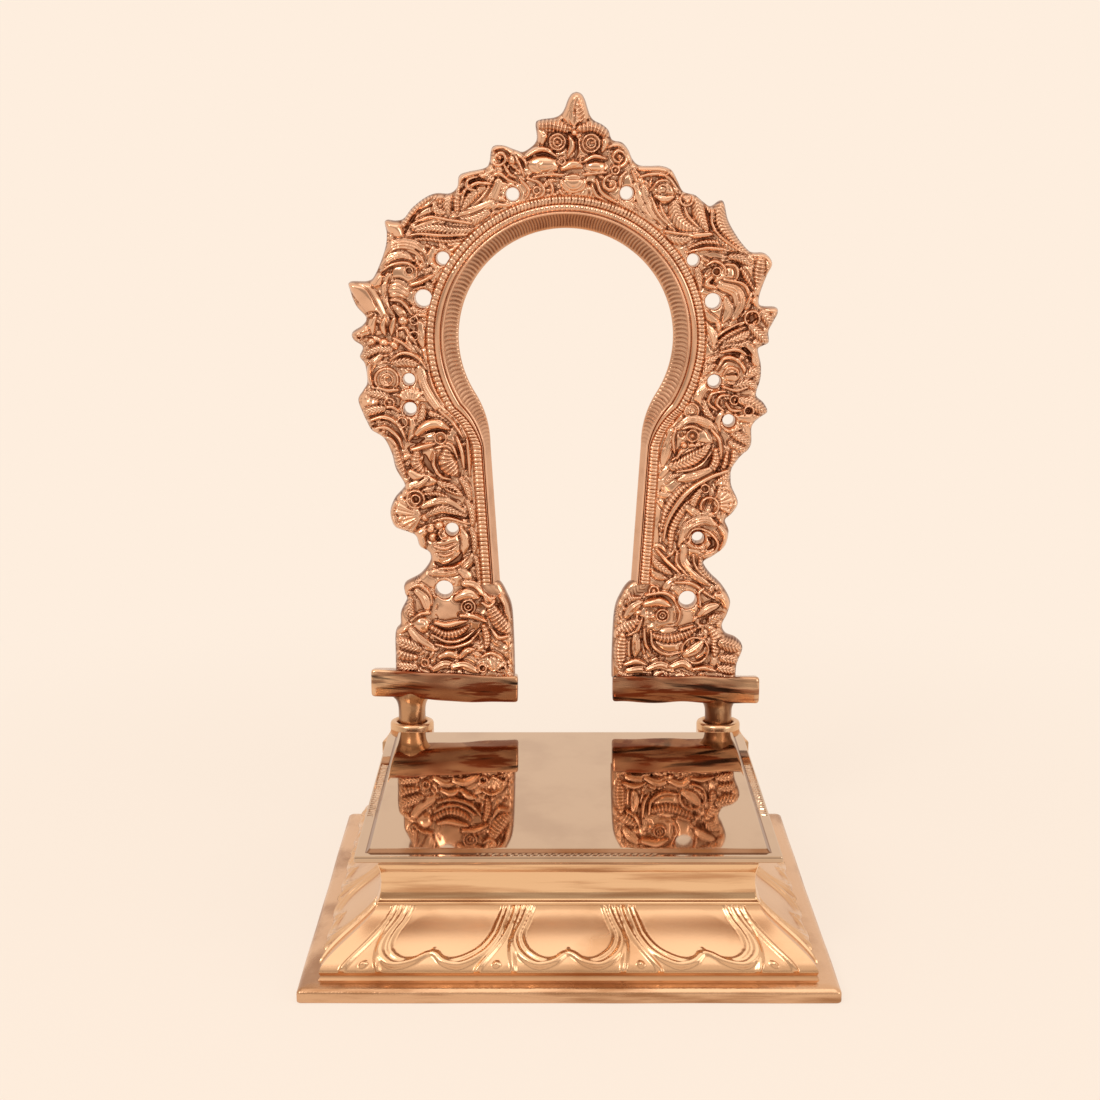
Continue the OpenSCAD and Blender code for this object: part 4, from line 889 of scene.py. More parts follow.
# Shoulders: the sides of the head, where leaves, combs and a beast's head fill the band out to the leafy rim.
# Modelled in wax on the plate and cast with it; strand after strand was rolled and pressed on.
# Left shoulder
ornament(arch, [
    ("sheaf", (3.4, 1.5, -17, 173, -19, 169, -22, 165.4, -27, 161.6)),
    ("strand", (1.2, 1.6, -18.4, 174, -21, 169.6, -25, 166)),
    ("sheaf", (3.6, 1.7, -19, 167.6, -24, 165.4, -30, 164, -38.6, 161.4)),
    ("leaf", (3.2, 1.7, -20, 165.4, -24.6, 163.2, -30, 162.6),
     (2.6, 1.7, -23.4, 161, -28, 160.8, -33, 161.6, -38, 161)),
    ("strand", (1.3, 1.9, -24, 162.8, -29, 163.6, -34, 164.4, -38.4, 163)),
    ("rope", (1.3, 1.7, -24.6, 159, -30, 158.4, -35, 159, -40, 158.6)),
    ("strand", (1.2, 1.8, -25, 160, -31, 159.8, -37, 160.2, -40.4, 159.6)),
    ("leaf", (3, 1.9, -21, 171.6, -24, 169.4, -26.4, 166.2)),
    ("strand", (1.5, 2, -19, 172.6, -22.4, 172.8, -25.6, 170.6, -26.6, 167),
     (1.3, 2.1, -22.4, 174.2, -24.6, 173.6, -24.8, 171.6, -22.6, 171),
     (1.6, 2.1, -27.2, 170.6, -27, 173, -25.2, 174.8, -20.6, 175.8)),
    ("cut", (0.9, 0.9, -24.4, 173, -22.6, 173.8, -20.6, 173.6)),
    ("comb", (2.4, 2.1, -27, 170, -27.6, 168, -27.4, 165.4)), ("boss", (1.5, 2.1, -31.6, 168.2, 0.8),
     (0.8, 2.1, -31.6, 168.2)), ("leaf", (2.8, 1.9, -29.4, 169.6, -30, 167.4, -29.6, 165),
     (2.4, 1.8, -33.2, 167.6, -32.6, 166, -30.4, 165.4)),
    ("comb", (2.4, 2.2, -41, 162.4, -39.4, 165.4, -36.8, 168, -33.8, 169.4)),
    ("cut", (0.9, 0.8, -41, 159.8, -39, 163.4, -36.6, 166, -33.6, 167.4)),
    ("strand", (3.6, 2, -41.8, 159.4, -43, 161.4, -45.8, 163.4)),
    ("comb", (1.6, 1.8, -45.4, 160, -45.6, 157.8, -46.6, 154.4)),
    ("sheaf", (3.8, 2, -46, 154.4, -43.6, 157, -40, 157.4, -37, 156, -35.2, 152.4)),
    ("cut", (1, 0.9, -38, 156.4, -36, 154.8, -35.2, 152)),
    ("sheaf", (2.6, 1.9, -46.6, 152, -44, 154.2, -41, 154.8, -38.6, 153.4)), ("boss", (4, 1.9, -41, 149.6)),
    ("strand", (1.2, 2.4, -46.8, 150.8, -43.8, 152.6, -40.4, 153, -38, 151.6, -37.8, 149.6)),
    ("boss", (1.2, 2.4, -39.7, 151, 0.6)), ("pit", (0.9, 1.2, -39.7, 151)),
    ("strand", (1.9, 2.4, -39.6, 147.4, -36.6, 148.4, -33.4, 150),
     (1.2, 2.1, -38.6, 146.2, -35.6, 146.8, -33, 148.4)),
    ("sheaf", (2.4, 1.8, -33.6, 156.6, -34, 154, -33, 151.6)), ("boss", (3.1, 2, -42.6, 146.2)),
    ("cut", (0.45, 0.5, -45, 147.8, -42.4, 148.2, -40.2, 146.8),
     (0.45, 0.5, -45.4, 146.6, -42.6, 147, -40, 145.4),
     (0.45, 0.5, -45.2, 145.2, -42.6, 145.6, -40.4, 144.2)),
    ("sheaf", (2.6, 1.9, -45, 150, -46.6, 146.6, -46, 142.6, -43.6, 139.6)),
    ("strand", (1.3, 2, -44.4, 143.6, -42, 143.4, -40, 141.4, -38.4, 138.8)),
    ("sheaf", (2.4, 1.8, -43.6, 142, -42, 140.6, -40.6, 138)),
    ("strand", (3.4, 1.9, -47.2, 149.4, -48.4, 146.6, -47.6, 143)), ("pit", (1, 1, -47.7, 146.4),
     (0.9, 0.9, -45.9, 141.6)), ("strand", (5.6, 2.1, -46.4, 138.2, -49.2, 143, -51.8, 146, -55.4, 148.2)),
    ("cut", (0.7, 0.6, -46.6, 139.6, -48.6, 143.6, -50.6, 146.6, -53.6, 147.8)),
    ("leaf", (2.4, 1.6, -35, 147.6, -33.6, 145, -33.4, 141),
     (2.6, 1.7, -38.8, 141.4, -37, 140.4, -34.4, 140.2)),
    ("strand", (1.3, 1.7, -34.4, 138.6, -36, 139.8, -38.8, 139.6),
     (1.4, 1.8, -50.6, 139.4, -48.6, 140, -46.8, 138.4)),
])
# Right shoulder
ornament(arch, [
    ("sheaf", (3, 1.5, 17.4, 172, 19.4, 168, 22.6, 163.4), (3, 1.7, 19.6, 171.6, 21.6, 167, 25, 162)),
    ("strand", (1.4, 1.8, 21.4, 169.8, 23, 165.6, 27.8, 160.8),
     (1.2, 1.7, 23.4, 168.4, 24.6, 165, 28.8, 161)),
    ("leaf", (4.6, 1.9, 27.2, 168.8, 27.8, 165, 30.4, 162.4, 35.2, 160.2)),
    ("strand", (1.3, 2, 29.6, 167.6, 30.8, 164.4, 35.4, 160.6)),
    ("leaf", (3.6, 2, 32.8, 169.2, 33.4, 165.4, 35.6, 161)),
    ("cut", (0.9, 0.9, 34.6, 168, 35.6, 165, 36.6, 161.4)),
    ("strand", (1.8, 1.9, 25, 160.8, 30, 159.8, 35, 160, 39, 160.6)),
    ("leaf", (2.6, 1.7, 25.6, 159.4, 28.4, 158.6, 31.4, 159)),
    ("rope", (1.5, 1.9, 31, 156.8, 35, 158.2, 40, 157.6, 44.4, 155.8)),
    ("strand", (1.3, 1.8, 30.6, 155.4, 35, 156.6, 41, 156.2, 44, 154.8)), ("boss", (3.5, 2, 24.6, 171.2)),
    ("strand", (1.1, 2.3, 21.2, 171, 23.4, 173.4, 26.4, 173, 28, 170.2)),
    ("boss", (1.5, 2.4, 24.2, 171.2, 0.6)), ("strand", (2.4, 2.3, 22.6, 169.6, 24.6, 168.8, 27, 169.4),
     (1.3, 1.9, 18.6, 174.4, 21.6, 175, 25, 174.6, 28.2, 171),
     (1.9, 2.1, 18.4, 176.4, 23.8, 176.4, 27, 175, 29.4, 170.8)), ("boss", (0.6, 2.3, 25.7, 175.4),
     (2, 1.9, 30.2, 168.8, 0.8)), ("leaf", (4.8, 2.1, 39.6, 168.6, 38.4, 165, 39, 161.6, 42, 158, 46.4, 155)),
    ("cut", (0.8, 0.7, 37.4, 165.4, 37.8, 162, 40.4, 158.8, 44, 156)),
    ("strand", (1.2, 2, 36.6, 166.4, 36.8, 162.6, 39.4, 159.2, 44.6, 155.4)), ("boss", (4.6, 1.9, 49, 151.6)),
    ("comb", (3.4, 2.1, 49.4, 154.8, 49, 151.4, 48.4, 147.4)),
    ("strand", (1.6, 2.1, 47.4, 155, 50.6, 154.6, 52, 152.6, 50.6, 149.8)),
    ("rope", (1.8, 2, 44.2, 151.6, 45.8, 149.2, 47.4, 146.4)),
    ("leaf", (2.6, 1.8, 41.6, 154.4, 44, 154.2, 46.6, 152.4)), ("boss", (3.6, 1.9, 40.6, 149.6)),
    ("strand", (1.2, 2.3, 35.4, 152.4, 37.6, 153.4, 40, 152, 40.2, 149.6),
     (1.2, 2.2, 40.4, 152.6, 42.8, 152.2, 43.4, 149.8, 42, 147.6)), ("boss", (1.3, 2.4, 38, 150.8, 0.6)),
    ("pit", (1, 1.2, 38.1, 150.8)), ("strand", (1.9, 2.2, 36.8, 149.4, 35.4, 147.6, 38.6, 146.6)),
    ("pit", (1, 1, 35.7, 150.8)), ("leaf", (2.4, 1.6, 33, 152, 33.6, 149.4, 34, 146.4)),
    ("sheaf", (4.4, 1.9, 39.6, 147.4, 43.4, 146, 44.4, 142.6, 42.4, 138.8)),
    ("strand", (1.2, 2, 40, 148.8, 45.2, 147.4, 46.6, 143, 44.6, 139.4)),
    ("sheaf", (2.6, 1.7, 40.6, 144, 41.4, 141, 40, 138), (2.2, 1.6, 35.4, 140.6, 36.6, 139, 38.8, 138)),
    ("boss", (2.3, 2.1, 47.3, 139, 0.9)), ("pit", (1.2, 1.2, 47.3, 139)),
    ("strand", (3.4, 2, 47.8, 143.4, 50.8, 142.2, 54.4, 141.2),
     (1.2, 1.9, 47, 145.4, 46.2, 143, 45.4, 140.8)), ("leaf", (3, 1.9, 50, 140.4, 51.4, 138.6, 52.8, 136.4)),
])


# Limbs: the band from the waist down to the feet, with a parrot at each side among scrolls and shells.
# Modelled in wax on the plate and cast with it; the parrots face the opening.
# Left waist
ornament(arch, [
    ("flute", (3.2, 1.9, -48.6, 136.6, -51.4, 135.8, -54.6, 134.8)), ("boss", (1, 2.1, -52.7, 134.3, 0.5)),
    ("strand", (2.2, 1.9, -48.4, 139.6, -49.2, 137.6, -49.2, 135), (2, 2, -46, 139, -46.6, 137, -46, 134.8),
     (1.9, 1.9, -43.6, 139, -44.2, 137, -44.4, 134.8)), ("boss", (1.3, 1.9, -38.6, 138.4, 0.6),
     (1.5, 2, -41.4, 138.4)), ("strand", (1.4, 1.9, -42.6, 136.4, -40.8, 136.6, -39.6, 134.4, -38, 132.4)),
    ("sheaf", (2.6, 1.7, -37, 137.6, -37, 134.6, -36.4, 131.6)), ("boss", (1.4, 1.9, -38.6, 134.6, 0.6),
     (1.5, 2, -46.4, 132.6), (1.4, 2, -43.8, 132.2), (1.3, 2, -49.6, 133)),
    ("strand", (1.2, 1.8, -44, 134, -41.4, 132.6, -38.8, 130.4)),
    ("leaf", (2.8, 1.9, -45, 131, -48.6, 130.8, -52.4, 129)),
    ("strand", (1.3, 1.9, -45.6, 129.6, -48.6, 129, -51.6, 126.6)),
    ("sheaf", (2.6, 1.8, -47.4, 129.4, -49.6, 127, -49.8, 123)),
    ("strand", (1.4, 2, -44.8, 128.4, -41.6, 130.2, -38, 129.2, -35.6, 126)),
    ("leaf", (2.8, 2.1, -45, 127, -41, 127.9, -37, 126.8)),
    ("sheaf", (3.4, 1.8, -37.2, 126, -36, 122, -34, 118.4, -30.6, 113.6)),
    ("strand", (1.2, 1.8, -35, 125, -33.6, 121, -31, 116.6)), ("boss", (4, 1.7, -45.8, 123.6),
     (3.4, 2.1, -45.8, 123.4, 1), (1.9, 2.1, -45.8, 123.4, 0.8)), ("pit", (0.9, 1.1, -45.4, 123.4)),
    ("strand", (1.5, 2, -50, 127.4, -50.4, 124, -49, 121), (1.6, 1.9, -43, 120.8, -46, 120.6, -49.6, 121.4)),
    ("fan", (4.4, 1.9, -39.6, 117, 40, 150, 7)), ("boss", (2.3, 1.9, -50, 118.2)),
    ("pit", (1.3, 1.2, -49.8, 118.3)), ("leaf", (2.6, 1.8, -45.6, 119, -48, 119.6, -51, 120)),
    ("boss", (1.6, 2, -45.2, 117.4, 0.7)), ("strand", (1.2, 1.9, -47.4, 116, -44.6, 116.4, -42.4, 115)),
    ("leaf", (2.8, 1.8, -47, 115.8, -49.6, 115.4, -52.2, 114.8)),
    ("strand", (1.5, 2, -50.6, 112.8, -46.6, 113.8, -43, 111.8, -41, 107.6),
     (1.4, 2, -49.4, 110.8, -46, 111, -43, 108.4, -42, 105.6),
     (1.2, 1.9, -47.4, 108.8, -44.8, 108, -42.8, 105)), ("boss", (1.6, 1.9, -42, 112.4, 0.7)),
    ("sheaf", (2.2, 1.8, -39.6, 113.6, -39.2, 110.6, -40.4, 107.6)),
    ("comb", (2.4, 1.8, -43.6, 105.4, -43, 102, -41.4, 98.4)),
    ("leaf", (2.4, 1.7, -36.6, 116.4, -37, 113.6, -38.4, 111.2),
     (2.6, 1.8, -34.6, 114.6, -31.4, 113, -27.6, 110)),
    ("strand", (1.3, 1.8, -32.4, 115.4, -29, 112.4, -26.4, 108.4)), ("boss", (5.4, 1.6, -32.4, 106.8)),
    ("strand", (1.6, 1.9, -28, 108.6, -26.8, 105, -26.2, 100.4),
     (1.3, 1.7, -25.4, 108, -25, 103.6, -24.8, 98.4)), ("comb", (5, 2.2, -30.4, 105, -30.6, 102, -28.2, 98.8),
     (3.2, 2, -38.4, 104.6, -38.6, 101.6, -36.6, 99)),
    ("strand", (1.4, 2.3, -33.6, 104.6, -34, 101.2, -32.2, 98.4, -29.6, 97.6),
     (3.4, 2, -40, 99.4, -37, 97.4, -33, 97)), ("cut", (1.9, 1.5, -36.4, 103.8, -35.6, 101.4, -33.8, 99)),
    ("strand", (1.9, 2.3, -39.6, 105.4, -36.4, 106.2, -33.4, 107),
     (1.4, 2.3, -33.6, 105.8, -30.4, 106.4, -28.4, 104.2), (1.2, 2.2, -31.4, 107.4, -29.2, 106.4, -27.8, 103),
     (3.2, 2.5, -38.2, 109.6, -36, 111.4, -33, 112, -30, 110.8)),
    ("cut", (0.9, 1, -36, 109.6, -33, 110.4, -29.8, 109.4)), ("boss", (1.8, 2.4, -32.2, 108.4, 0.7),
     (0.8, 2.4, -32.2, 108.4)), ("cut", (1.4, 1.1, -40, 107.4, -38.4, 107.4, -36.4, 108.2)),
])
# Right waist
ornament(arch, [
    ("rope", (1.9, 2, 37.6, 131.4, 41, 134.4, 45.6, 136.8)),
    ("strand", (1, 1.9, 36.8, 132.6, 40.2, 135.8, 44.6, 138)),
    ("sheaf", (2.6, 1.8, 35.4, 137.4, 37.4, 134.6, 37.6, 131.6)),
    ("leaf", (3, 2, 40.6, 132.4, 44, 133.8, 47, 135.8), (3.2, 2, 47.2, 136.8, 49.4, 134.8, 51.6, 132.8),
     (2.8, 1.9, 40, 131.4, 43.6, 131.6, 46.8, 133)),
    ("strand", (1.4, 1.9, 39.4, 130.4, 43.6, 131, 47.4, 129)),
    ("sheaf", (2.6, 1.9, 46.4, 132, 48.4, 129.6, 48.4, 126)),
    ("cut", (1.2, 1.2, 45, 131.6, 46.6, 130, 47, 127.8)),
    ("leaf", (2.2, 1.8, 34.6, 126.6, 36.6, 128, 38.8, 129.4),
     (2.2, 1.8, 35, 124.6, 36.4, 126.2, 38.4, 127.2)), ("boss", (3.8, 1.8, 42.4, 125)),
    ("strand", (1.5, 2.3, 38.4, 126, 40.6, 129, 44, 128.2, 45.8, 125, 44, 122.4, 41, 122.6),
     (1.2, 2.2, 40, 124.4, 41.4, 126.4, 43.6, 126, 44.2, 124.2)),
    ("cut", (0.9, 1, 41, 124.6, 42.6, 124.9, 44, 124.6)),
    ("leaf", (2.8, 1.9, 46, 124, 47.8, 125.4, 49.6, 125.4), (2.8, 1.9, 43.4, 121.4, 46.4, 122.4, 49, 121)),
    ("strand", (1.2, 1.8, 40, 121.6, 43.4, 120.6, 46.4, 121.4)),
    ("sheaf", (2.8, 1.9, 38.6, 121.4, 35.6, 121.4, 34, 118.6, 35.6, 115)),
    ("strand", (1.3, 2, 38.6, 115.6, 36.4, 117.4, 37.6, 120, 41, 120.4),
     (1.2, 2, 40.4, 115.4, 38.6, 117.2, 39.6, 119.2, 42, 119.4)),
    ("leaf", (2.2, 1.9, 37.6, 113.4, 36, 115.4, 35.4, 118)), ("boss", (1.5, 2.1, 43.2, 118.2, 0.7),
     (0.5, 2, 43.2, 118.2)), ("strand", (1.3, 1.9, 41, 117.4, 42.4, 115.6, 45, 115.4)),
    ("leaf", (3.6, 2, 45, 118, 48.4, 116.8, 51.8, 114.8)), ("boss", (1.6, 2.1, 46.9, 115.4, 0.8)),
    ("pit", (0.9, 1, 46.9, 115.4)), ("sheaf", (2.4, 1.8, 44, 113.4, 47, 113.4, 49.6, 113.8)),
    ("boss", (2.6, 1.6, 32.2, 115.4), (2.2, 1.9, 32.2, 115.4, 0.8), (1, 1.9, 32.2, 115.4, 0.6)),
    ("strand", (1.2, 1.8, 31.4, 122, 30.6, 118.8, 29.4, 115.6),
     (1.2, 1.8, 33.2, 122.4, 32, 119.6, 30.6, 117)), ("leaf", (3, 1.9, 42.6, 110.6, 44.6, 108.4, 47.4, 106.6),
     (2.8, 1.9, 42.4, 107, 44.4, 105.6, 47, 104.8)), ("comb", (2.8, 1.9, 43.4, 104.6, 43.4, 101.4, 42, 98)),
    ("sheaf", (2.2, 1.8, 40.6, 111.6, 42, 110.6, 44.8, 110.8)),
    ("comb", (1.6, 1.7, 41.6, 104.4, 41, 101.6, 40, 99.4)), ("boss", (5.6, 1.6, 32.4, 107)),
    ("sheaf", (3, 1.7, 27.4, 110, 26.4, 106.4, 25, 101)),
    ("strand", (1.2, 1.9, 29, 112, 27.6, 108.6, 28, 104.4)),
    ("sheaf", (2.8, 2, 29.2, 111, 32, 113, 36.4, 112, 39, 109.4)),
    ("strand", (1.5, 2.1, 37.4, 110.6, 39.6, 107.4, 39.4, 102.6, 37, 98.6)),
    ("leaf", (4.6, 2.2, 27.8, 101, 31.4, 102.4, 36.8, 106.2)),
    ("strand", (1.1, 2.3, 28.6, 99.6, 33.4, 100.6, 36.8, 103.4, 38, 106.4),
     (1.2, 2.2, 27.4, 102.6, 31, 105, 35.4, 106.8)), ("cut", (1.5, 1.3, 37.6, 105, 36.8, 102.6, 34.8, 99.4)),
    ("comb", (2.6, 1.9, 38.6, 105, 38.6, 102, 36.6, 98.6)),
    ("strand", (1.8, 2.4, 34.4, 106.6, 31.6, 106.4, 29.4, 104.6, 28.6, 103)),
    ("boss", (1.1, 2.6, 30.4, 106.5), (1.8, 2.4, 32.5, 109, 0.7), (0.8, 2.4, 32.5, 109)),
    ("pit", (0.9, 1, 29.7, 109.2)), ("strand", (1.3, 2.4, 30, 110.8, 32.4, 111.4, 35, 110.4)),
])
# Left limb
ornament(arch, [
    ("fan", (8, 2, -37.2, 88.2, 118, 246, 8)),
    ("strand", (1.2, 1.9, -44, 91.6, -45.2, 88.4, -43.6, 85.2, -40, 84.2)),
    ("sheaf", (2.6, 1.8, -36, 97.4, -38.6, 96, -41.8, 95.4)), ("boss", (2.7, 2.1, -38.8, 92.4, 0.9),
     (1.5, 2.1, -38.8, 92.4, 0.7)), ("pit", (0.8, 0.9, -38.8, 92.4)),
    ("rope", (1.6, 2.2, -36.2, 93.8, -33, 93.8, -29.4, 92)), ("boss", (1.2, 2.2, -36.5, 87.6)),
    ("leaf", (2.8, 1.9, -32.4, 96.6, -29.6, 95.2, -26.8, 93.4)),
    ("cut", (0.8, 0.9, -31, 95.4, -29.4, 94.8, -28, 94.2)),
    ("sheaf", (2.6, 1.8, -37, 90.4, -34, 91.6, -30.4, 91.4, -26, 88.8)),
    ("leaf", (2.6, 1.9, -35.4, 88.4, -31.4, 89.8, -26, 87.6)),
    ("cut", (0.9, 0.9, -30, 88.2, -27.6, 87.8, -25.4, 87.2)),
    ("strand", (1.2, 1.8, -34.4, 86.6, -30.6, 87.4, -25, 85.8)),
    ("leaf", (2.2, 1.7, -27, 97.6, -25.6, 95.4, -24.6, 92), (2.2, 1.7, -25.4, 91.6, -24.2, 88.6, -24.2, 85)),
    ("strand", (3.6, 1.9, -36, 84.6, -38, 82.4, -36.4, 79)), ("boss", (4.8, 1.7, -31.6, 79.4),
     (1.6, 2.2, -34.8, 84.6), (1.5, 2.2, -32.8, 85.4), (1.7, 2.2, -31.6, 83.2, 0.8), (1.4, 2.2, -34.4, 82.4)),
    ("pit", (1.2, 1.2, -33, 82.2)), ("strand", (1.4, 2.1, -34, 80, -31.4, 79.4, -28.4, 80.6),
     (1.2, 2.1, -33, 77.8, -31, 77.6, -29, 78.4)),
    ("cut", (1.7, 1.5, -34, 75.6, -31.4, 74.4, -28.4, 76, -26.6, 78.4)),
    ("sheaf", (2.6, 1.8, -27.2, 84.4, -26, 81.4, -26.6, 78),
     (3.2, 1.9, -34.6, 72.8, -29.4, 73.4, -25.4, 75.6, -23.6, 78.4)),
    ("strand", (1.2, 1.9, -33, 74, -28.6, 74.6, -25.6, 77)),
    ("leaf", (2.2, 1.7, -24.4, 84.4, -23.6, 81.4, -23.8, 78),
     (2.2, 1.7, -23.4, 76.8, -22.4, 73.6, -22.6, 70.4)),
    ("sheaf", (2.6, 1.7, -27.6, 73.6, -25.8, 72.2, -25, 69.8)),
])
# Right limb
ornament(arch, [
    ("comb", (2.6, 1.8, 35.4, 98.4, 30.4, 95, 26.6, 90, 24.8, 84),
     (2.6, 1.8, 33, 92.4, 29.6, 88.6, 27.6, 84, 27.2, 79)),
    ("sheaf", (3, 1.7, 37, 99.8, 33.4, 98.4, 29, 97.4)), ("leaf", (3, 1.9, 39.4, 96.4, 41, 98.2, 42.6, 100)),
    ("strand", (1.8, 2.2, 41.6, 99.8, 37, 98, 32, 94.8, 28.4, 90.4, 26.2, 86, 25.4, 81.4)),
    ("boss", (1.4, 2, 36, 95.2, 0.7)), ("fan", (6.8, 2, 38, 91, -32, 74, 6)),
    ("strand", (1.2, 1.9, 39.6, 95.4, 43, 94.6, 44.2, 91.4, 42.2, 88)), ("boss", (2.8, 2.2, 37.2, 90.6, 1)),
    ("pit", (1.7, 1.5, 37.2, 90.6), (0.8, 0.8, 33.9, 93.8)),
    ("leaf", (2.6, 1.8, 34.6, 94.4, 33, 91.6, 32.6, 88.6)),
    ("sheaf", (2.8, 1.8, 31.6, 90, 34.4, 88.2, 38.4, 87.8)), ("boss", (6, 1.5, 36, 81.8)),
    ("sheaf", (3.2, 2.1, 30, 80.4, 31.6, 84.8, 36, 86.8, 40, 84.8)),
    ("strand", (2, 2.2, 39.8, 85.2, 41.6, 82, 40, 78.6),
     (1.2, 2.2, 31.4, 82.2, 33.4, 84.4, 37.2, 83.8, 39.4, 81, 38.6, 78.6, 36, 77.8)),
    ("cut", (1.6, 1.4, 37, 82.4, 38.4, 80.6, 37, 79)), ("boss", (0.9, 2, 35.6, 79)),
    ("leaf", (2.6, 1.9, 31, 80.4, 33.4, 80.4, 36, 79.4)),
    ("sheaf", (3, 1.8, 30.6, 79.6, 30.6, 76, 33.4, 72.6, 37.6, 69.6)),
    ("strand", (1.2, 1.9, 33.2, 77.4, 34, 74.4, 38.4, 70.4)),
    ("comb", (1.6, 1.8, 35, 77, 35.6, 74, 39.4, 69.8)), ("strand", (1.2, 1.8, 29, 78.6, 29, 75.4, 32, 72),
     (1.5, 2, 23.6, 79.2, 26.6, 75.8, 30, 72.6)), ("leaf", (2.6, 1.7, 22.6, 76.6, 24.6, 74.4, 27.6, 72.6)),
    ("sheaf", (2.2, 1.7, 22, 73.4, 24, 72, 26.4, 71.4)),
])


# Foot blocks: a yali on each foot, with a ringed eye, bared teeth, a striped trunk, mane and leaves.
# Modelled in wax on the plate and cast with it; the two beasts are alike but not mirror images.
# Left foot block
ornament(arch, [
    ("strand", (1.5, 1.8, -41, 68.6, -38.6, 69.6, -36, 68, -34.8, 64)),
    ("flute", (3, 1.9, -38.8, 68, -36.8, 66, -36, 62.6)),
    ("leaf", (3, 1.8, -40.6, 65.6, -40.8, 62.6, -39.6, 60)),
    ("strand", (1.3, 1.9, -40.4, 60.2, -37.6, 62, -34.2, 62.2)), ("boss", (2.4, 1.9, -37.6, 58.8)),
    ("flute", (3.4, 1.8, -40.4, 57.4, -38, 54.6, -34, 52.2)),
    ("leaf", (3.4, 1.9, -38.6, 52.6, -41.6, 53.6, -44.6, 55)),
    ("comb", (3, 1.8, -39.6, 50.2, -42.4, 50.6, -44.6, 52)),
    ("leaf", (3, 1.8, -39.6, 47.4, -42.4, 47.6, -44.8, 48.4)), ("boss", (7.2, 1.2, -28, 62)),
    ("flute", (3.6, 1.9, -22.4, 69.8, -20.4, 67.6, -19, 63.6), (3, 1.8, -26.4, 70, -23.8, 69.4, -21.6, 67)),
    ("strand", (1.6, 2, -18, 68.4, -16, 64.6, -14.6, 59)), ("pit", (1.4, 1, -17.2, 63.6)),
    ("comb", (4.4, 2, -19.4, 63.4, -17.6, 60.2, -14.6, 56.8)),
    ("strand", (1.4, 2.2, -21.8, 65, -20, 64, -18.4, 65.4), (1.6, 2, -15, 56, -17.6, 55.6, -19.4, 58),
     (3.4, 2.4, -28.4, 66.2, -25.6, 67.2, -22.8, 66.4)), ("boss", (2.1, 2.6, -25.4, 64, 0.7),
     (1.2, 2.6, -25.4, 64, 0.5), (0.5, 2.8, -25.4, 64)), ("pit", (1.5, 1.1, -22.2, 63.2)),
    ("strand", (2, 2.4, -27.4, 61.6, -24, 61.4, -20.6, 60),
     (2, 2.4, -34, 59.6, -31, 59, -27.6, 59.8, -25.8, 60.2)),
    ("comb", (2.7, 2.4, -34.8, 58.2, -31.4, 56.4, -28, 57, -25.4, 58.8)),
    ("strand", (1.3, 2.2, -35, 56.4, -31, 54.6, -27, 55.2, -24, 57.4),
     (1.4, 2, -34, 53.8, -29.6, 53, -25, 54.6, -22.4, 57.6)), ("pit", (1.3, 1.2, -23.2, 55)),
    ("strand", (2.4, 2, -33, 50.4, -30.4, 51.2, -27.6, 50), (2.2, 2.1, -27.6, 50.4, -26, 52, -23.8, 52.6)),
    ("comb", (2.4, 1.8, -21.4, 58.6, -20.6, 55.6, -20.8, 52.6)), ("pit", (1.6, 1.2, -16.8, 53.4)),
    ("strand", (1.5, 2, -22, 50.4, -19.6, 51.4, -17, 50, -15.4, 46.4)),
    ("fan", (4.2, 1.8, -18.8, 46.2, 30, 150, 5)), ("boss", (1.3, 1.9, -37, 48.8, 0.7)),
    ("flute", (2.8, 1.9, -34.6, 47, -31.6, 48.4, -28.6, 47.4), (2.8, 1.9, -29.6, 47.6, -26.6, 48, -23, 46.2)),
    ("boss", (1.4, 2, -21.8, 47.4, 0.8)),
])
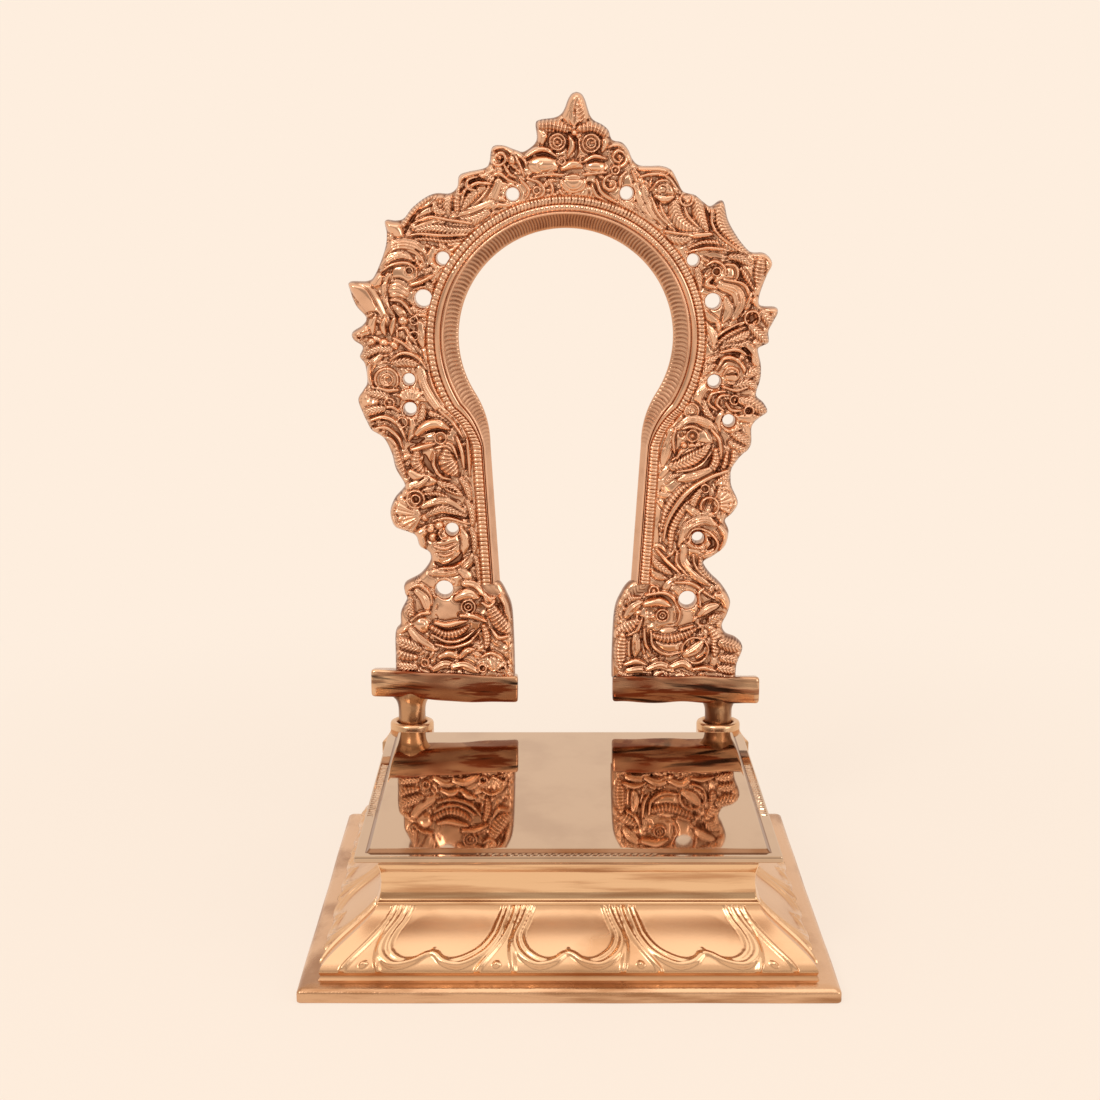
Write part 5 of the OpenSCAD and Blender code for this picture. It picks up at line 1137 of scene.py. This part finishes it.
# Right foot block
ornament(arch, [
    ("strand", (3.6, 1.9, 39.4, 66.6, 41.4, 66, 42.4, 63.4), (1.4, 1.8, 28.6, 70.4, 33, 70, 37, 67.2, 39, 66),
     (1.3, 1.8, 36, 68.8, 34.6, 67, 35.4, 63)), ("flute", (2.8, 1.9, 35.2, 61.6, 37.2, 63.4, 40, 64.4)),
    ("leaf", (2.8, 1.8, 37.4, 58.4, 38.6, 60.4, 40.8, 61.6)), ("pit", (1.5, 1.2, 36.2, 60.2)),
    ("comb", (3.4, 1.8, 38, 58, 39.6, 55, 39.2, 50.6)), ("leaf", (4.2, 2, 41, 54, 43.4, 53.4, 46.4, 52.8),
     (3.2, 1.8, 41.4, 49.8, 43.6, 49.6, 45.4, 48.8), (3, 1.8, 40.6, 47, 43, 46.8, 45, 46)),
    ("boss", (7, 1.2, 26.4, 60), (1.6, 1.9, 23, 68.2, 0.8), (0.7, 1.9, 23, 68.2)),
    ("leaf", (3.6, 2, 17, 64.6, 18.6, 67.4, 20.6, 69.6)), ("flute", (3, 1.9, 16, 61.4, 17.6, 63.6, 20, 65.2)),
    ("strand", (1.4, 1.9, 21, 67, 25.4, 67.6, 28.4, 66, 29.8, 62, 28.8, 58.6),
     (3, 2.5, 20.8, 64.6, 24.2, 65.2, 27.4, 64.2)), ("boss", (1.9, 2.6, 25.3, 61.7, 0.7),
     (1, 2.6, 25.3, 61.7, 0.5), (0.4, 2.8, 25.3, 61.7)), ("pit", (1.4, 1.1, 22.2, 62.6),
     (1.2, 0.9, 22.4, 59.8)), ("comb", (4.2, 1.9, 13.6, 56.4, 16.2, 57.8, 19.6, 60),
     (3.6, 1.8, 15, 56, 14.4, 52, 14.6, 47.6)), ("strand", (1.4, 2, 16.4, 56.2, 18.6, 57.4, 20, 60.6),
     (1.9, 2.4, 25.6, 57.6, 28.8, 57, 33.4, 58.8)), ("boss", (4.2, 1.9, 27.2, 54.2)),
    ("comb", (2.9, 2.4, 23.2, 56, 26.8, 55.2, 30.8, 56.2, 34.2, 58)),
    ("strand", (1.3, 2.1, 22.4, 57, 23, 53.4, 26.2, 51.2, 30.4, 51.6)), ("boss", (3.9, 1.9, 34, 52.2, 0.9)),
    ("flute", (3.4, 2, 31.6, 51, 34, 52.6, 36, 54.4)), ("pit", (1, 1, 35.2, 57)),
    ("strand", (1.3, 1.8, 20.6, 57.8, 21, 54, 22.4, 51.4)),
    ("flute", (2.8, 1.8, 18.4, 56, 18.6, 53, 18.2, 50.6)),
    ("strand", (2, 2.2, 15.6, 48.4, 18.4, 49.2, 21.4, 48.2)),
    ("flute", (2.6, 2, 16.4, 46.6, 20, 47, 22.4, 46), (2.6, 2, 21.6, 47, 25, 48.2, 28.6, 46.4),
     (2.4, 2, 27.8, 47.6, 31, 48.6, 33.8, 46.4)), ("strand", (1.8, 2, 33.6, 47, 36.4, 47.4, 39.6, 46.6)),
])


# Chasing: the fine lines that a chaser cuts along the forms once the casting has cooled.
# Each follows the level lines of the worked front for a few millimetres and fades out at both ends.
# How many lines, the least and one past the most points in one, from point to point, and the least length
CHASED, CHASE_POINTS, CHASE_STEP, CHASE_LEAST = 420, (4, 8), 0.55, 1.0
CHASE_WIDTH, CHASE_DEPTH = (0.45, 0.7), (0.15, 0.4)
# Lines keep clear of the bead row and of the rim, and off forms that have marks of their own
CHASE_CLEAR, CHASE_EDGE, CHASE_MARKS = 4.2, 0.8, 0.1
# Slight waves of the cast skin
CAST_OFF, CAST_WAVE = 0.05, 3.6
even_front = soften(soften(arch["h"], 2), 2)
rise_z, rise_x = np.gradient(even_front, STEP)
steep = np.maximum(np.hypot(rise_x, rise_z), 1e-6)
rise_x, rise_z = rise_x / steep, rise_z / steep
rng = np.random.default_rng(23)
room = within & (inner_gap > CHASE_CLEAR) & (edge_gap > CHASE_EDGE) & (arch["marks"] < CHASE_MARKS)
room = np.argwhere(room)
for pick in rng.integers(0, len(room), CHASED):
    spot = room[pick].astype(float)
    hand = rng.choice([-1, 1])
    line = []
    for _ in range(rng.integers(*CHASE_POINTS)):
        r, c = np.clip(np.rint(spot).astype(int), 0, np.array(rise_x.shape) - 1)
        line.append((grid_x[r, c], grid_z[r, c]))
        spot = spot + hand * np.array([rise_x[r, c], -rise_z[r, c]]) * CHASE_STEP / STEP
    if np.hypot(*np.ptp(line, axis=0)) > CHASE_LEAST:
        cut(arch, rng.uniform(*CHASE_WIDTH), rng.uniform(*CHASE_DEPTH), line)
arch["h"] += CAST_OFF * uneven(ground, CAST_WAVE, seed=41)


# Pieces of the arch: the worked front is pierced, rounded at its free edges, given a plain back and cut up.
# The back is left as it came from the mould, only rasped flat.
# Free edges: the width and drop of the round, the share of the drop right at the edge, how far points slide
EDGE_ROUND, EDGE_DROP, EDGE_END, EDGE_SLIDE = 1.5, 1.7, 0.98, 0.3
# The lip of a hole: width, height and drop, and from what width on and how steeply the ornament takes over
HOLE_ROUND, HOLE_LIP, HOLE_DROP, HOLE_WIDE, HOLE_STEEP = 0.8, 0.9, 1.4, 0.7, 1.6
# The deepest cut into the plate, the share of softening, and how far the mean of the front reaches, in steps
DEEPEST, FRONT_SOFT, MEAN_REACH = -0.3, 0.2, 5
# The bed of the ridge and beads: its width by height, over what width beside it the ornament comes up to its
# full height, and the share of it that is left on the bed
BED_WIDE, BED_OVER, BED_LEFT = ([CURVE_Z, HEAD_Z - 14], [3.0, 4.1]), 0.7, 0.08
# The back: how its edge is rounded off, and its dents, each with depth, length and seed
BACK_ROUND, BACK_DROP = 0.7, 0.45
BACK_DENTS = ((0.08, 9, 31), (0.03, 2.6, 32))
# Tarnish for each mm of hollow and at most, and on the back; then the arch is made darker towards the feet:
# how much, from what height down and over what height
HOLLOW_BROWN, HOLLOW_MOST, BACK_BROWN = 1.2, 0.75, 0.5
FOOT_BROWN, FOOT_BROWN_TOP, FOOT_BROWN_OVER = 0.16, 165, 110
signed = np.where(within, -1.0, 1.0) * distance(arch, np.concatenate([outline, outline[:1]]), EDGE_REACH)
height = np.maximum(arch["h"], DEEPEST)
height *= np.clip((inner_gap - np.interp(grid_z, *BED_WIDE)) / BED_OVER, BED_LEFT, 1)
for x, z, r in HOLES:
    gap = np.hypot(grid_x - x, grid_z - z) - r
    signed = np.maximum(signed, -gap)
    lip = np.sqrt(1 - (1 - np.clip(gap / HOLE_ROUND, 0, 1)) ** 2)
    lip = (HOLE_LIP + HOLE_DROP) * lip - HOLE_DROP + np.clip(gap - HOLE_WIDE, 0, 9) * HOLE_STEEP
    height = np.minimum(height, lip)
lift = np.sqrt(1 - (1 - np.clip(edge_gap / EDGE_ROUND, 0, 1)) ** 2)
front = (height + EDGE_DROP) * lift - EDGE_DROP
front = (1 - FRONT_SOFT) * front + FRONT_SOFT * soften(front, 1)
mean = soften(soften(front, MEAN_REACH), MEAN_REACH)
hollow = (mean - front) * HOLLOW_BROWN
hollow = hollow + FOOT_BROWN * np.clip((FOOT_BROWN_TOP - grid_z) / FOOT_BROWN_OVER, 0, 1)
hollow = np.clip(hollow, 0, HOLLOW_MOST)

# Cells of the grid inside the outline; the points on their edge slide onto the outline itself
cell = (signed[:-1, :-1] + signed[1:, :-1] + signed[1:, 1:] + signed[:-1, 1:]) < 0
touched = np.zeros((4, *signed.shape), bool)
touched[0, :-1, :-1] = cell
touched[1, 1:, :-1] = cell
touched[2, 1:, 1:] = cell
touched[3, :-1, 1:] = cell
on_edge = touched.any(0) & ~touched.all(0)
slope_z, slope_x = np.gradient(signed, STEP)
steep = np.maximum(np.hypot(slope_x, slope_z), 0.5)
slide = np.where(on_edge, np.clip(signed, -EDGE_SLIDE, EDGE_SLIDE) / steep, 0)
place_x = grid_x - slide * slope_x / steep
place_z = grid_z - slide * slope_z / steep
free = on_edge & (inner_gap > EDGE_SLIDE)
front = np.where(free, -EDGE_DROP * EDGE_END, front)
back = PLATE_BACK - BACK_DROP * (1 - np.clip(edge_gap / BACK_ROUND, 0, 1)) ** 2
for depth, length, seed in BACK_DENTS:
    back = back - depth * (1 + uneven(ground, length, seed))

# Bronze of the arch: bright where the buff reached, brown and dull in the hollows between the strands.
arch_bronze = bronze("buffed_relief_bronze", "#EABB9A", "#6E3C22", rough=(0.12, 0.34), wave=(4, 0.04),
                     stain=((4.5, 4.5, 4.5), 0.4, 0.8, 0.2), lines=((0.9, 0.9, 0.9), 0.003, 0),
                     hollow=1.0, veins=(0.04, 0.42))
middle_x = (grid_x[:-1, :-1] + grid_x[1:, 1:]) / 2
middle_z = (grid_z[:-1, :-1] + grid_z[1:, 1:]) / 2
turn = np.degrees(np.arctan2(np.abs(middle_x), middle_z - HEAD_Z))
# Pieces: height from and to, turn from the crown from and to, hand, and the nodes that each stands for
BANDS = [("crown_mask", 136, 300, 0, 30, 0, ["crest_mask"])]
for name, hand in (("left", -1), ("right", 1)):
    BANDS += [("shoulder_" + name, 136, 300, 30, 181, hand, ["scrolls_" + name, "rim_leaves_" + name]),
              ("waist_" + name, 101, 136, -1, 181, hand, ["parrot_" + name, "scrolls_" + name]),
              ("limb_" + name, 72, 101, -1, 181, hand, ["scrolls_" + name]),
              ("foot_block_" + name, 40, 72, -1, 181, hand, ["yali_" + name])]
for name, low, high, near, far, hand, nodes in BANDS:
    here = cell & (middle_z > low) & (middle_z <= high) & (turn >= near) & (turn < far)
    here = here & (middle_x * hand >= 0)
    r, c = np.nonzero(here)
    wide = signed.shape[1]
    quads = np.stack([r * wide + c, r * wide + c + 1, (r + 1) * wide + c + 1, (r + 1) * wide + c], 1)
    used, quads = np.unique(quads, return_inverse=True)
    quads = quads.reshape(-1, 4)
    count = len(used)
    flat_x, flat_z = place_x.ravel()[used], place_z.ravel()[used]
    points = np.concatenate([on_plate(flat_x, PLATE_FRONT - front.ravel()[used], flat_z),
                             on_plate(flat_x, back.ravel()[used], flat_z)])
    sides = np.concatenate([quads[:, [k, (k + 1) % 4]] for k in range(4)])
    key = sides.min(1) * count + sides.max(1)
    _, index, times = np.unique(key, return_index=True, return_counts=True)
    rim = sides[index[times == 1]]
    walls = np.stack([rim[:, 1], rim[:, 0], rim[:, 0] + count, rim[:, 1] + count], 1)
    faces = np.concatenate([quads, quads[:, ::-1] + count, walls])
    hard = np.zeros(2 * count, bool)
    seam = rim.ravel()
    hard[seam[~free.ravel()[used][seam]]] = True
    hard[seam + count] = True
    make_piece(name, points, faces, arch_bronze, "arch", "arch_bronze", ["arch_plate"] + nodes, sharp=hard,
               hollow=np.concatenate([hollow.ravel()[used], np.full(count, BACK_BROWN)]),
               phase=np.tile(arch["phase"].ravel()[used], 2),
               marks=np.concatenate([arch["marks"].ravel()[used], np.zeros(count)]))


# Reveal: the sloping edge of the opening, cut with curved ribs round the head and plain down the limbs.
# Bronze, one casting with the plate; the ribs were tooled in the wax, and a plain lip runs along the opening.
REVEAL_THIN, REVEAL_STEP, SLOPE_POINTS = 1.2, 0.12, 17
# Ribs: pitch at the crown and at the sides, depth, bow in pitches, how far from the crown they run and over
# what length they fade out
RIB_CROWN, RIB_SIDE, RIB_DEPTH, RIB_BOW, RIB_RUN, RIB_FADE = 0.7, 1.05, 0.3, 0.45, 74, 8
# The crown's pitch holds to this far from the crown, and the sides' is reached over this much more
CROWN_RUN, CROWN_FADE = 10, 16
# Share of the depth, and how plainly the finish marks it, at the crown and what the sides add
RIB_SHARE, RIB_MARKS = (0.3, 0.7), (0.35, 0.2)
# Across the slope: where the ribs begin and end and where the painted shade begins, each with how fast it
# comes
RIB_FIRST, RIB_LAST, SHADE_FIRST = (0.06, 7), (0.97, 8), (0.04, 8)
REVEAL_OFF, REVEAL_WAVE = 0.06, 9
# Tarnish everywhere; painted shade on the slope, and more of it about the crown where the slope faces down,
# with how far from the crown that reaches; tarnish in the ribs
REVEAL_BROWN, SLOPE_SHADE, CROWN_SHADE, CROWN_SHADE_RUN, RIB_BROWN = 0.12, 0.08, 0.34, 26, 0.25
way, run = opening_line(REVEAL_STEP)
middle = run[-1] / 2
from_crown = np.abs(run - middle)
out = outward(way[:, :2])
v = np.concatenate([np.linspace(0, 1, SLOPE_POINTS), [1.0, 0.5, 0.0]])
slope_y = np.concatenate([np.linspace(PLATE_BACK - REVEAL_THIN, PLATE_FRONT - 0.1, SLOPE_POINTS),
                          np.full(len(v) - SLOPE_POINTS, PLATE_BACK)])
on_face = np.arange(len(v)) < SLOPE_POINTS
sides = np.clip((from_crown - CROWN_RUN) / CROWN_FADE, 0, 1)
phase = np.cumsum(np.gradient(run) / (RIB_CROWN + (RIB_SIDE - RIB_CROWN) * sides))[:, None]
phase = phase + RIB_BOW * np.sin(np.pi * v) * np.sign(run - middle)[:, None]
rib = np.abs(np.cos(np.pi * phase))
fade = np.clip((RIB_RUN - from_crown) / RIB_FADE, 0, 1)[:, None]
fade = fade * np.clip((v - RIB_FIRST[0]) * RIB_FIRST[1], 0, 1)
fade = fade * np.clip((RIB_LAST[0] - v) * RIB_LAST[1], 0, 1) * on_face
dent = RIB_DEPTH * (RIB_SHARE[0] + RIB_SHARE[1] * sides)[:, None] * (1 - rib ** 0.8) * fade
off = uneven(np.column_stack([way[:, 0], 0 * run, way[:, 1]]), REVEAL_WAVE, seed=3)
dent += REVEAL_OFF * on_face * (off[:, None] + 1)
flat = way[:, None, :2] + out[:, None] * (way[:, 2, None, None] * v[None, :, None])
points = on_plate(flat[..., 0], slope_y + dent, flat[..., 1])
# Painted shade on the slope of the reveal, darkest about the crown where it faces down
shade = (SLOPE_SHADE + CROWN_SHADE * np.exp(-(from_crown / CROWN_SHADE_RUN) ** 2))[:, None]
dark = REVEAL_BROWN + shade * np.clip((v - SHADE_FIRST[0]) * SHADE_FIRST[1], 0, 1) * on_face
dark = np.where(on_face, np.clip(dark + RIB_BROWN * (1 - rib) * fade, 0, 1), BACK_BROWN)
marks = (RIB_MARKS[0] + RIB_MARKS[1] * sides)[:, None] * fade
make_piece("reveal_ribbed", points, tube_faces(points), arch_bronze, "arch", "arch_bronze", ["inner_reveal"],
           sharp=60, hollow=dark, phase=phase, marks=marks)


# Ridge: the plain round strand beside the reveal, and the flat band outside it that is ribbed at the crown.
# Bronze, one casting with the plate, and the brightest line of the arch because the buff rides along it.
# Start beyond the reveal and width of each, on the limbs and what the head adds; height; the ridge's waves
RIDGE_START, RIDGE_WIDE, RIDGE_HIGH = -0.2, (0.6, 0.15), 1.1
RIDGE_OFF, RIDGE_WAVE = 0.1, 6
BAND_START, BAND_WIDE, BAND_HIGH = (0.4, 0.2), (0.35, 1.4), 0.95
# Ribs of the band: pitch, depth, and how far from the crown they run and fade
BAND_PITCH, BAND_DEPTH, BAND_RUN, BAND_FADE = 1.05, 0.15, 30, 5
BAND_BROWN, BAND_MARKS = 0.1, 0.3


def by_head(pair):
    """A value for each place along the way: pair[0] on the limbs, and pair[1] more on the head."""
    return pair[0] + pair[1] * on_head


def strand_along(start, wide, high, low=0.3):
    """A strand on the plate beside the opening: start + wide (1 - cos a) / 2 out and high sin(a)^0.7 up.

    start and wide have one number for each place along the way; high has one for each place, or one for each
    place and each point across. Two more points close it below the plate's face, at low.
    """
    a = np.linspace(0, np.pi, 10)
    across = start[:, None] + wide[:, None] * np.concatenate([(1 - np.cos(a)) / 2, [1.0, 0.0]])
    rise = np.concatenate([np.sin(a) ** 0.7 * (np.sin(a) > 0), [-1.0, -1.0]])
    flat = way[:, None, :2] + out[:, None] * (way[:, 2, None] + across)[..., None]
    lift = np.where(rise > 0, rise * high, low * np.minimum(rise, 0))
    return on_plate(flat[..., 0], PLATE_FRONT - lift, flat[..., 1])


on_head = (way[:, 2] - REVEAL_LEG) / (REVEAL_HEAD - REVEAL_LEG)
off = uneven(np.column_stack([way[:, :2], 0 * run]), RIDGE_WAVE, seed=4)
points = strand_along(RIDGE_START + 0 * run, by_head(RIDGE_WIDE), (RIDGE_HIGH + RIDGE_OFF * off)[:, None])
make_piece("ridge_dressed", points, tube_faces(points), arch_bronze, "arch", "arch_bronze", ["plain_ridge"],
           sharp=60, hollow=np.zeros(points.shape[:2]))
near_crown = np.clip((BAND_RUN - from_crown) / BAND_FADE, 0, 1)
ribs = 0.5 - 0.5 * np.cos(2 * np.pi * run / BAND_PITCH)
points = strand_along(by_head(BAND_START), by_head(BAND_WIDE),
                      (BAND_HIGH - BAND_DEPTH * near_crown * ribs)[:, None])
phase, marks = (np.broadcast_to(f[:, None], points.shape[:2])
                for f in (run / BAND_PITCH, BAND_MARKS * near_crown))
make_piece("ridge_band", points, tube_faces(points), arch_bronze, "arch", "arch_bronze", ["plain_ridge"],
           sharp=60, hollow=np.full(points.shape[:2], BAND_BROWN), phase=phase, marks=marks)


# Bead row: the row of small beads outside the ridge, coarser on the left limb than on the right.
# Bronze, one casting with the plate; each bead was nicked from a rolled strand of wax with a slanting tool.
# Pitch of the beads by the run from the crown, left of it below 0
BEAD_WAY = [-108, -75, -58, -30, -12, 0, 12, 30, 58, 75, 108]
BEAD_PITCH = [1.1, 1.1, 1.1, 1.15, 0.78, 0.65, 0.7, 0.78, 0.8, 0.93, 0.93]
# Start and width on the limbs and what the head adds; height and what a bead adds; bow in pitches
BEAD_START, BEAD_WIDE, BEAD_HIGH, BEAD_BOW = (0.7, 1.6), (2.7, -0.6), (0.65, 0.4), 0.3
# Tarnish between the beads and on them, and how plainly the finish marks them
BEAD_BROWN, BEAD_CLEAN, BEAD_MARKS = 0.5, 0.03, (0.35, 0.25)
count = np.cumsum(np.gradient(run) / np.interp(run - middle, BEAD_WAY, BEAD_PITCH))
count = count[:, None] + BEAD_BOW * np.linspace(-1, 1, points.shape[1]) ** 2
bead = np.abs(np.cos(np.pi * count)) ** 0.5
points = strand_along(by_head(BEAD_START), by_head(BEAD_WIDE), BEAD_HIGH[0] + BEAD_HIGH[1] * bead)
make_piece("bead_row_dressed", points, tube_faces(points), arch_bronze, "arch", "arch_bronze", ["bead_row"],
           sharp=70, hollow=np.clip(BEAD_BROWN * (1 - bead), BEAD_CLEAN, 1), phase=count,
           marks=np.broadcast_to(by_head(BEAD_MARKS)[:, None], count.shape))


# Floor and backdrop: a plain pale peach sweep, seen flat by the camera and by the metal, with a soft shadow.
# Near the object it is paper under the lamps; further off its own even light takes over, and then the room's.
PAPER = "#FEEEDE"
FLOOR_HALF = 6
# Places are metres from the middle of the floor
PAPER_GLOW, SHADOW_FROM, SHADOW_TO = 0.8, 0.12, 0.34
FADE_FROM, FADE_TO = 1.0, 5.6
# How pale the room is on the camera's side and overhead, and over which parts of a direction it turns pale
ROOM, CEILING = 0.51, 1.0
BEHIND_FROM, BEHIND_TO, ABOVE_FROM, ABOVE_TO = -0.75, 0.25, 0.05, 0.5
# Light of the room on the object
ROOM_COLOUR, ROOM_LEVEL = "#F4EAE0", 0.75


def seen_rays(tree):
    """1 for rays that show the background: from the camera, from gloss and through glass."""
    rays = add(tree, "ShaderNodeLightPath", {}, {}).outputs
    seen = add(tree, "ShaderNodeMath", {"operation": "MAXIMUM"},
               {0: rays["Is Camera Ray"], 1: rays["Is Glossy Ray"]}).outputs[0]
    return add(tree, "ShaderNodeMath", {"operation": "MAXIMUM"},
               {0: seen, 1: rays["Is Transmission Ray"]}).outputs[0]


def room_light(tree, direction):
    """How pale the room is in a direction: 1 behind the object, ROOM towards the camera, CEILING overhead."""
    parts = add(tree, "ShaderNodeSeparateXYZ", {}, {0: direction}).outputs
    behind = add(tree, "ShaderNodeMapRange", SOFT,
                 {0: parts["Y"], 1: BEHIND_FROM, 2: BEHIND_TO, 3: ROOM, 4: 1.0}).outputs[0]
    above = add(tree, "ShaderNodeMapRange", SOFT,
                {0: parts["Z"], 1: ABOVE_FROM, 2: ABOVE_TO, 3: ROOM, 4: CEILING}).outputs[0]
    return add(tree, "ShaderNodeMath", {"operation": "MAXIMUM"}, {0: behind, 1: above}).outputs[0]


# Pale paper: matt, with no grain that shows, and bright of itself so that it stays even away from the lamps.
paper = bpy.data.materials.new("pale_paper")
paper.use_nodes = True
tree = paper.node_tree
tree.nodes.remove(tree.nodes["Principled BSDF"])
place = add(tree, "ShaderNodeTexCoord", {}, {}).outputs["Object"]
away = add(tree, "ShaderNodeVectorMath", {"operation": "LENGTH"}, {0: place}).outputs["Value"]
share = add(tree, "ShaderNodeMapRange", SOFT,
            {0: away, 1: SHADOW_FROM, 2: SHADOW_TO, 3: PAPER_GLOW, 4: 1.0}).outputs[0]
share = add(tree, "ShaderNodeMath", {"operation": "MULTIPLY"}, {0: seen_rays(tree), 1: share}).outputs[0]
lit = add(tree, "ShaderNodeBsdfDiffuse", {}, {"Color": linear(PAPER)}).outputs[0]
direction = add(tree, "ShaderNodeVectorMath", {"operation": "NORMALIZE"}, {0: place}).outputs["Vector"]
far = add(tree, "ShaderNodeMapRange", SOFT, {0: away, 1: FADE_FROM, 2: FADE_TO, 3: 0.0, 4: 1.0}).outputs[0]
level = add(tree, "ShaderNodeMix", {}, {0: far, 2: 1.0, 3: room_light(tree, direction)}).outputs[0]
glow = add(tree, "ShaderNodeEmission", {}, {"Color": linear(PAPER), "Strength": level}).outputs[0]
both = add(tree, "ShaderNodeMixShader", {}, {0: share, 1: lit, 2: glow}).outputs[0]
tree.links.new(both, tree.nodes["Material Output"].inputs["Surface"])
mesh = bpy.data.meshes.new("floor")
mesh.from_pydata([(x * FLOOR_HALF, y * FLOOR_HALF, 0) for x, y in ((-1, -1), (1, -1), (1, 1), (-1, 1))], [],
                 [(0, 1, 2, 3)])
mesh.materials.append(paper)
floor = bpy.data.objects.new("floor", mesh)
bpy.context.scene.collection.objects.link(floor)

# The room: as pale as the paper behind the object and overhead, and dimmer on the camera's side.
world = bpy.data.worlds.new("studio")
bpy.context.scene.world = world
world.use_nodes = True
tree = world.node_tree
plain = tree.nodes["Background"]
plain.inputs["Color"].default_value = linear(ROOM_COLOUR)
plain.inputs["Strength"].default_value = ROOM_LEVEL
dim = room_light(tree, add(tree, "ShaderNodeTexCoord", {}, {}).outputs["Generated"])
pale = add(tree, "ShaderNodeBackground", {}, {"Color": linear(PAPER), "Strength": dim}).outputs[0]
both = add(tree, "ShaderNodeMixShader", {}, {0: seen_rays(tree), 1: plain.outputs[0], 2: pale}).outputs[0]
tree.links.new(both, tree.nodes["World Output"].inputs["Surface"])


# Lamps: three large soft boxes at a plain level, one high on the left, one overhead, one lower on the right.
# Each: place in metres, turn in degrees, side in metres and power in watts
LAMPS = [("key_box", (-0.55, -0.75, 0.75), (50, 0, -36), 0.36, 2.7),
         ("top_box", (0.0, -0.25, 0.95), (12, 0, 0), 0.9, 1.7),
         ("fill_box", (0.7, -0.55, 0.35), (68, 0, 52), 0.4, 1.2)]
for name, spot, turn, size, power in LAMPS:
    lamp = bpy.data.lights.new(name, "AREA")
    lamp.size = size
    lamp.energy = power
    holder = bpy.data.objects.new(name, lamp)
    holder.location = spot
    holder.rotation_euler = np.radians(turn)
    bpy.context.scene.collection.objects.link(holder)


# Camera: stands in front, a little above the crown, and looks down at the seat.
# Lens and sensor in mm, place in metres and how far it looks down in degrees
LENS, SENSOR = 65.55, 36.0
CAMERA_PLACE, CAMERA_DOWN = (-0.00406, -0.46413, 0.18110), 11.314
camera = bpy.data.cameras.new("camera")
camera.lens = LENS
camera.sensor_width = SENSOR
camera.clip_start = 0.02
holder = bpy.data.objects.new("camera", camera)
holder.location = CAMERA_PLACE
holder.rotation_euler = (np.radians(90 - CAMERA_DOWN), 0.0, 0.0)
bpy.context.scene.collection.objects.link(holder)
bpy.context.scene.camera = holder
bpy.context.scene.view_settings.view_transform = "Standard"
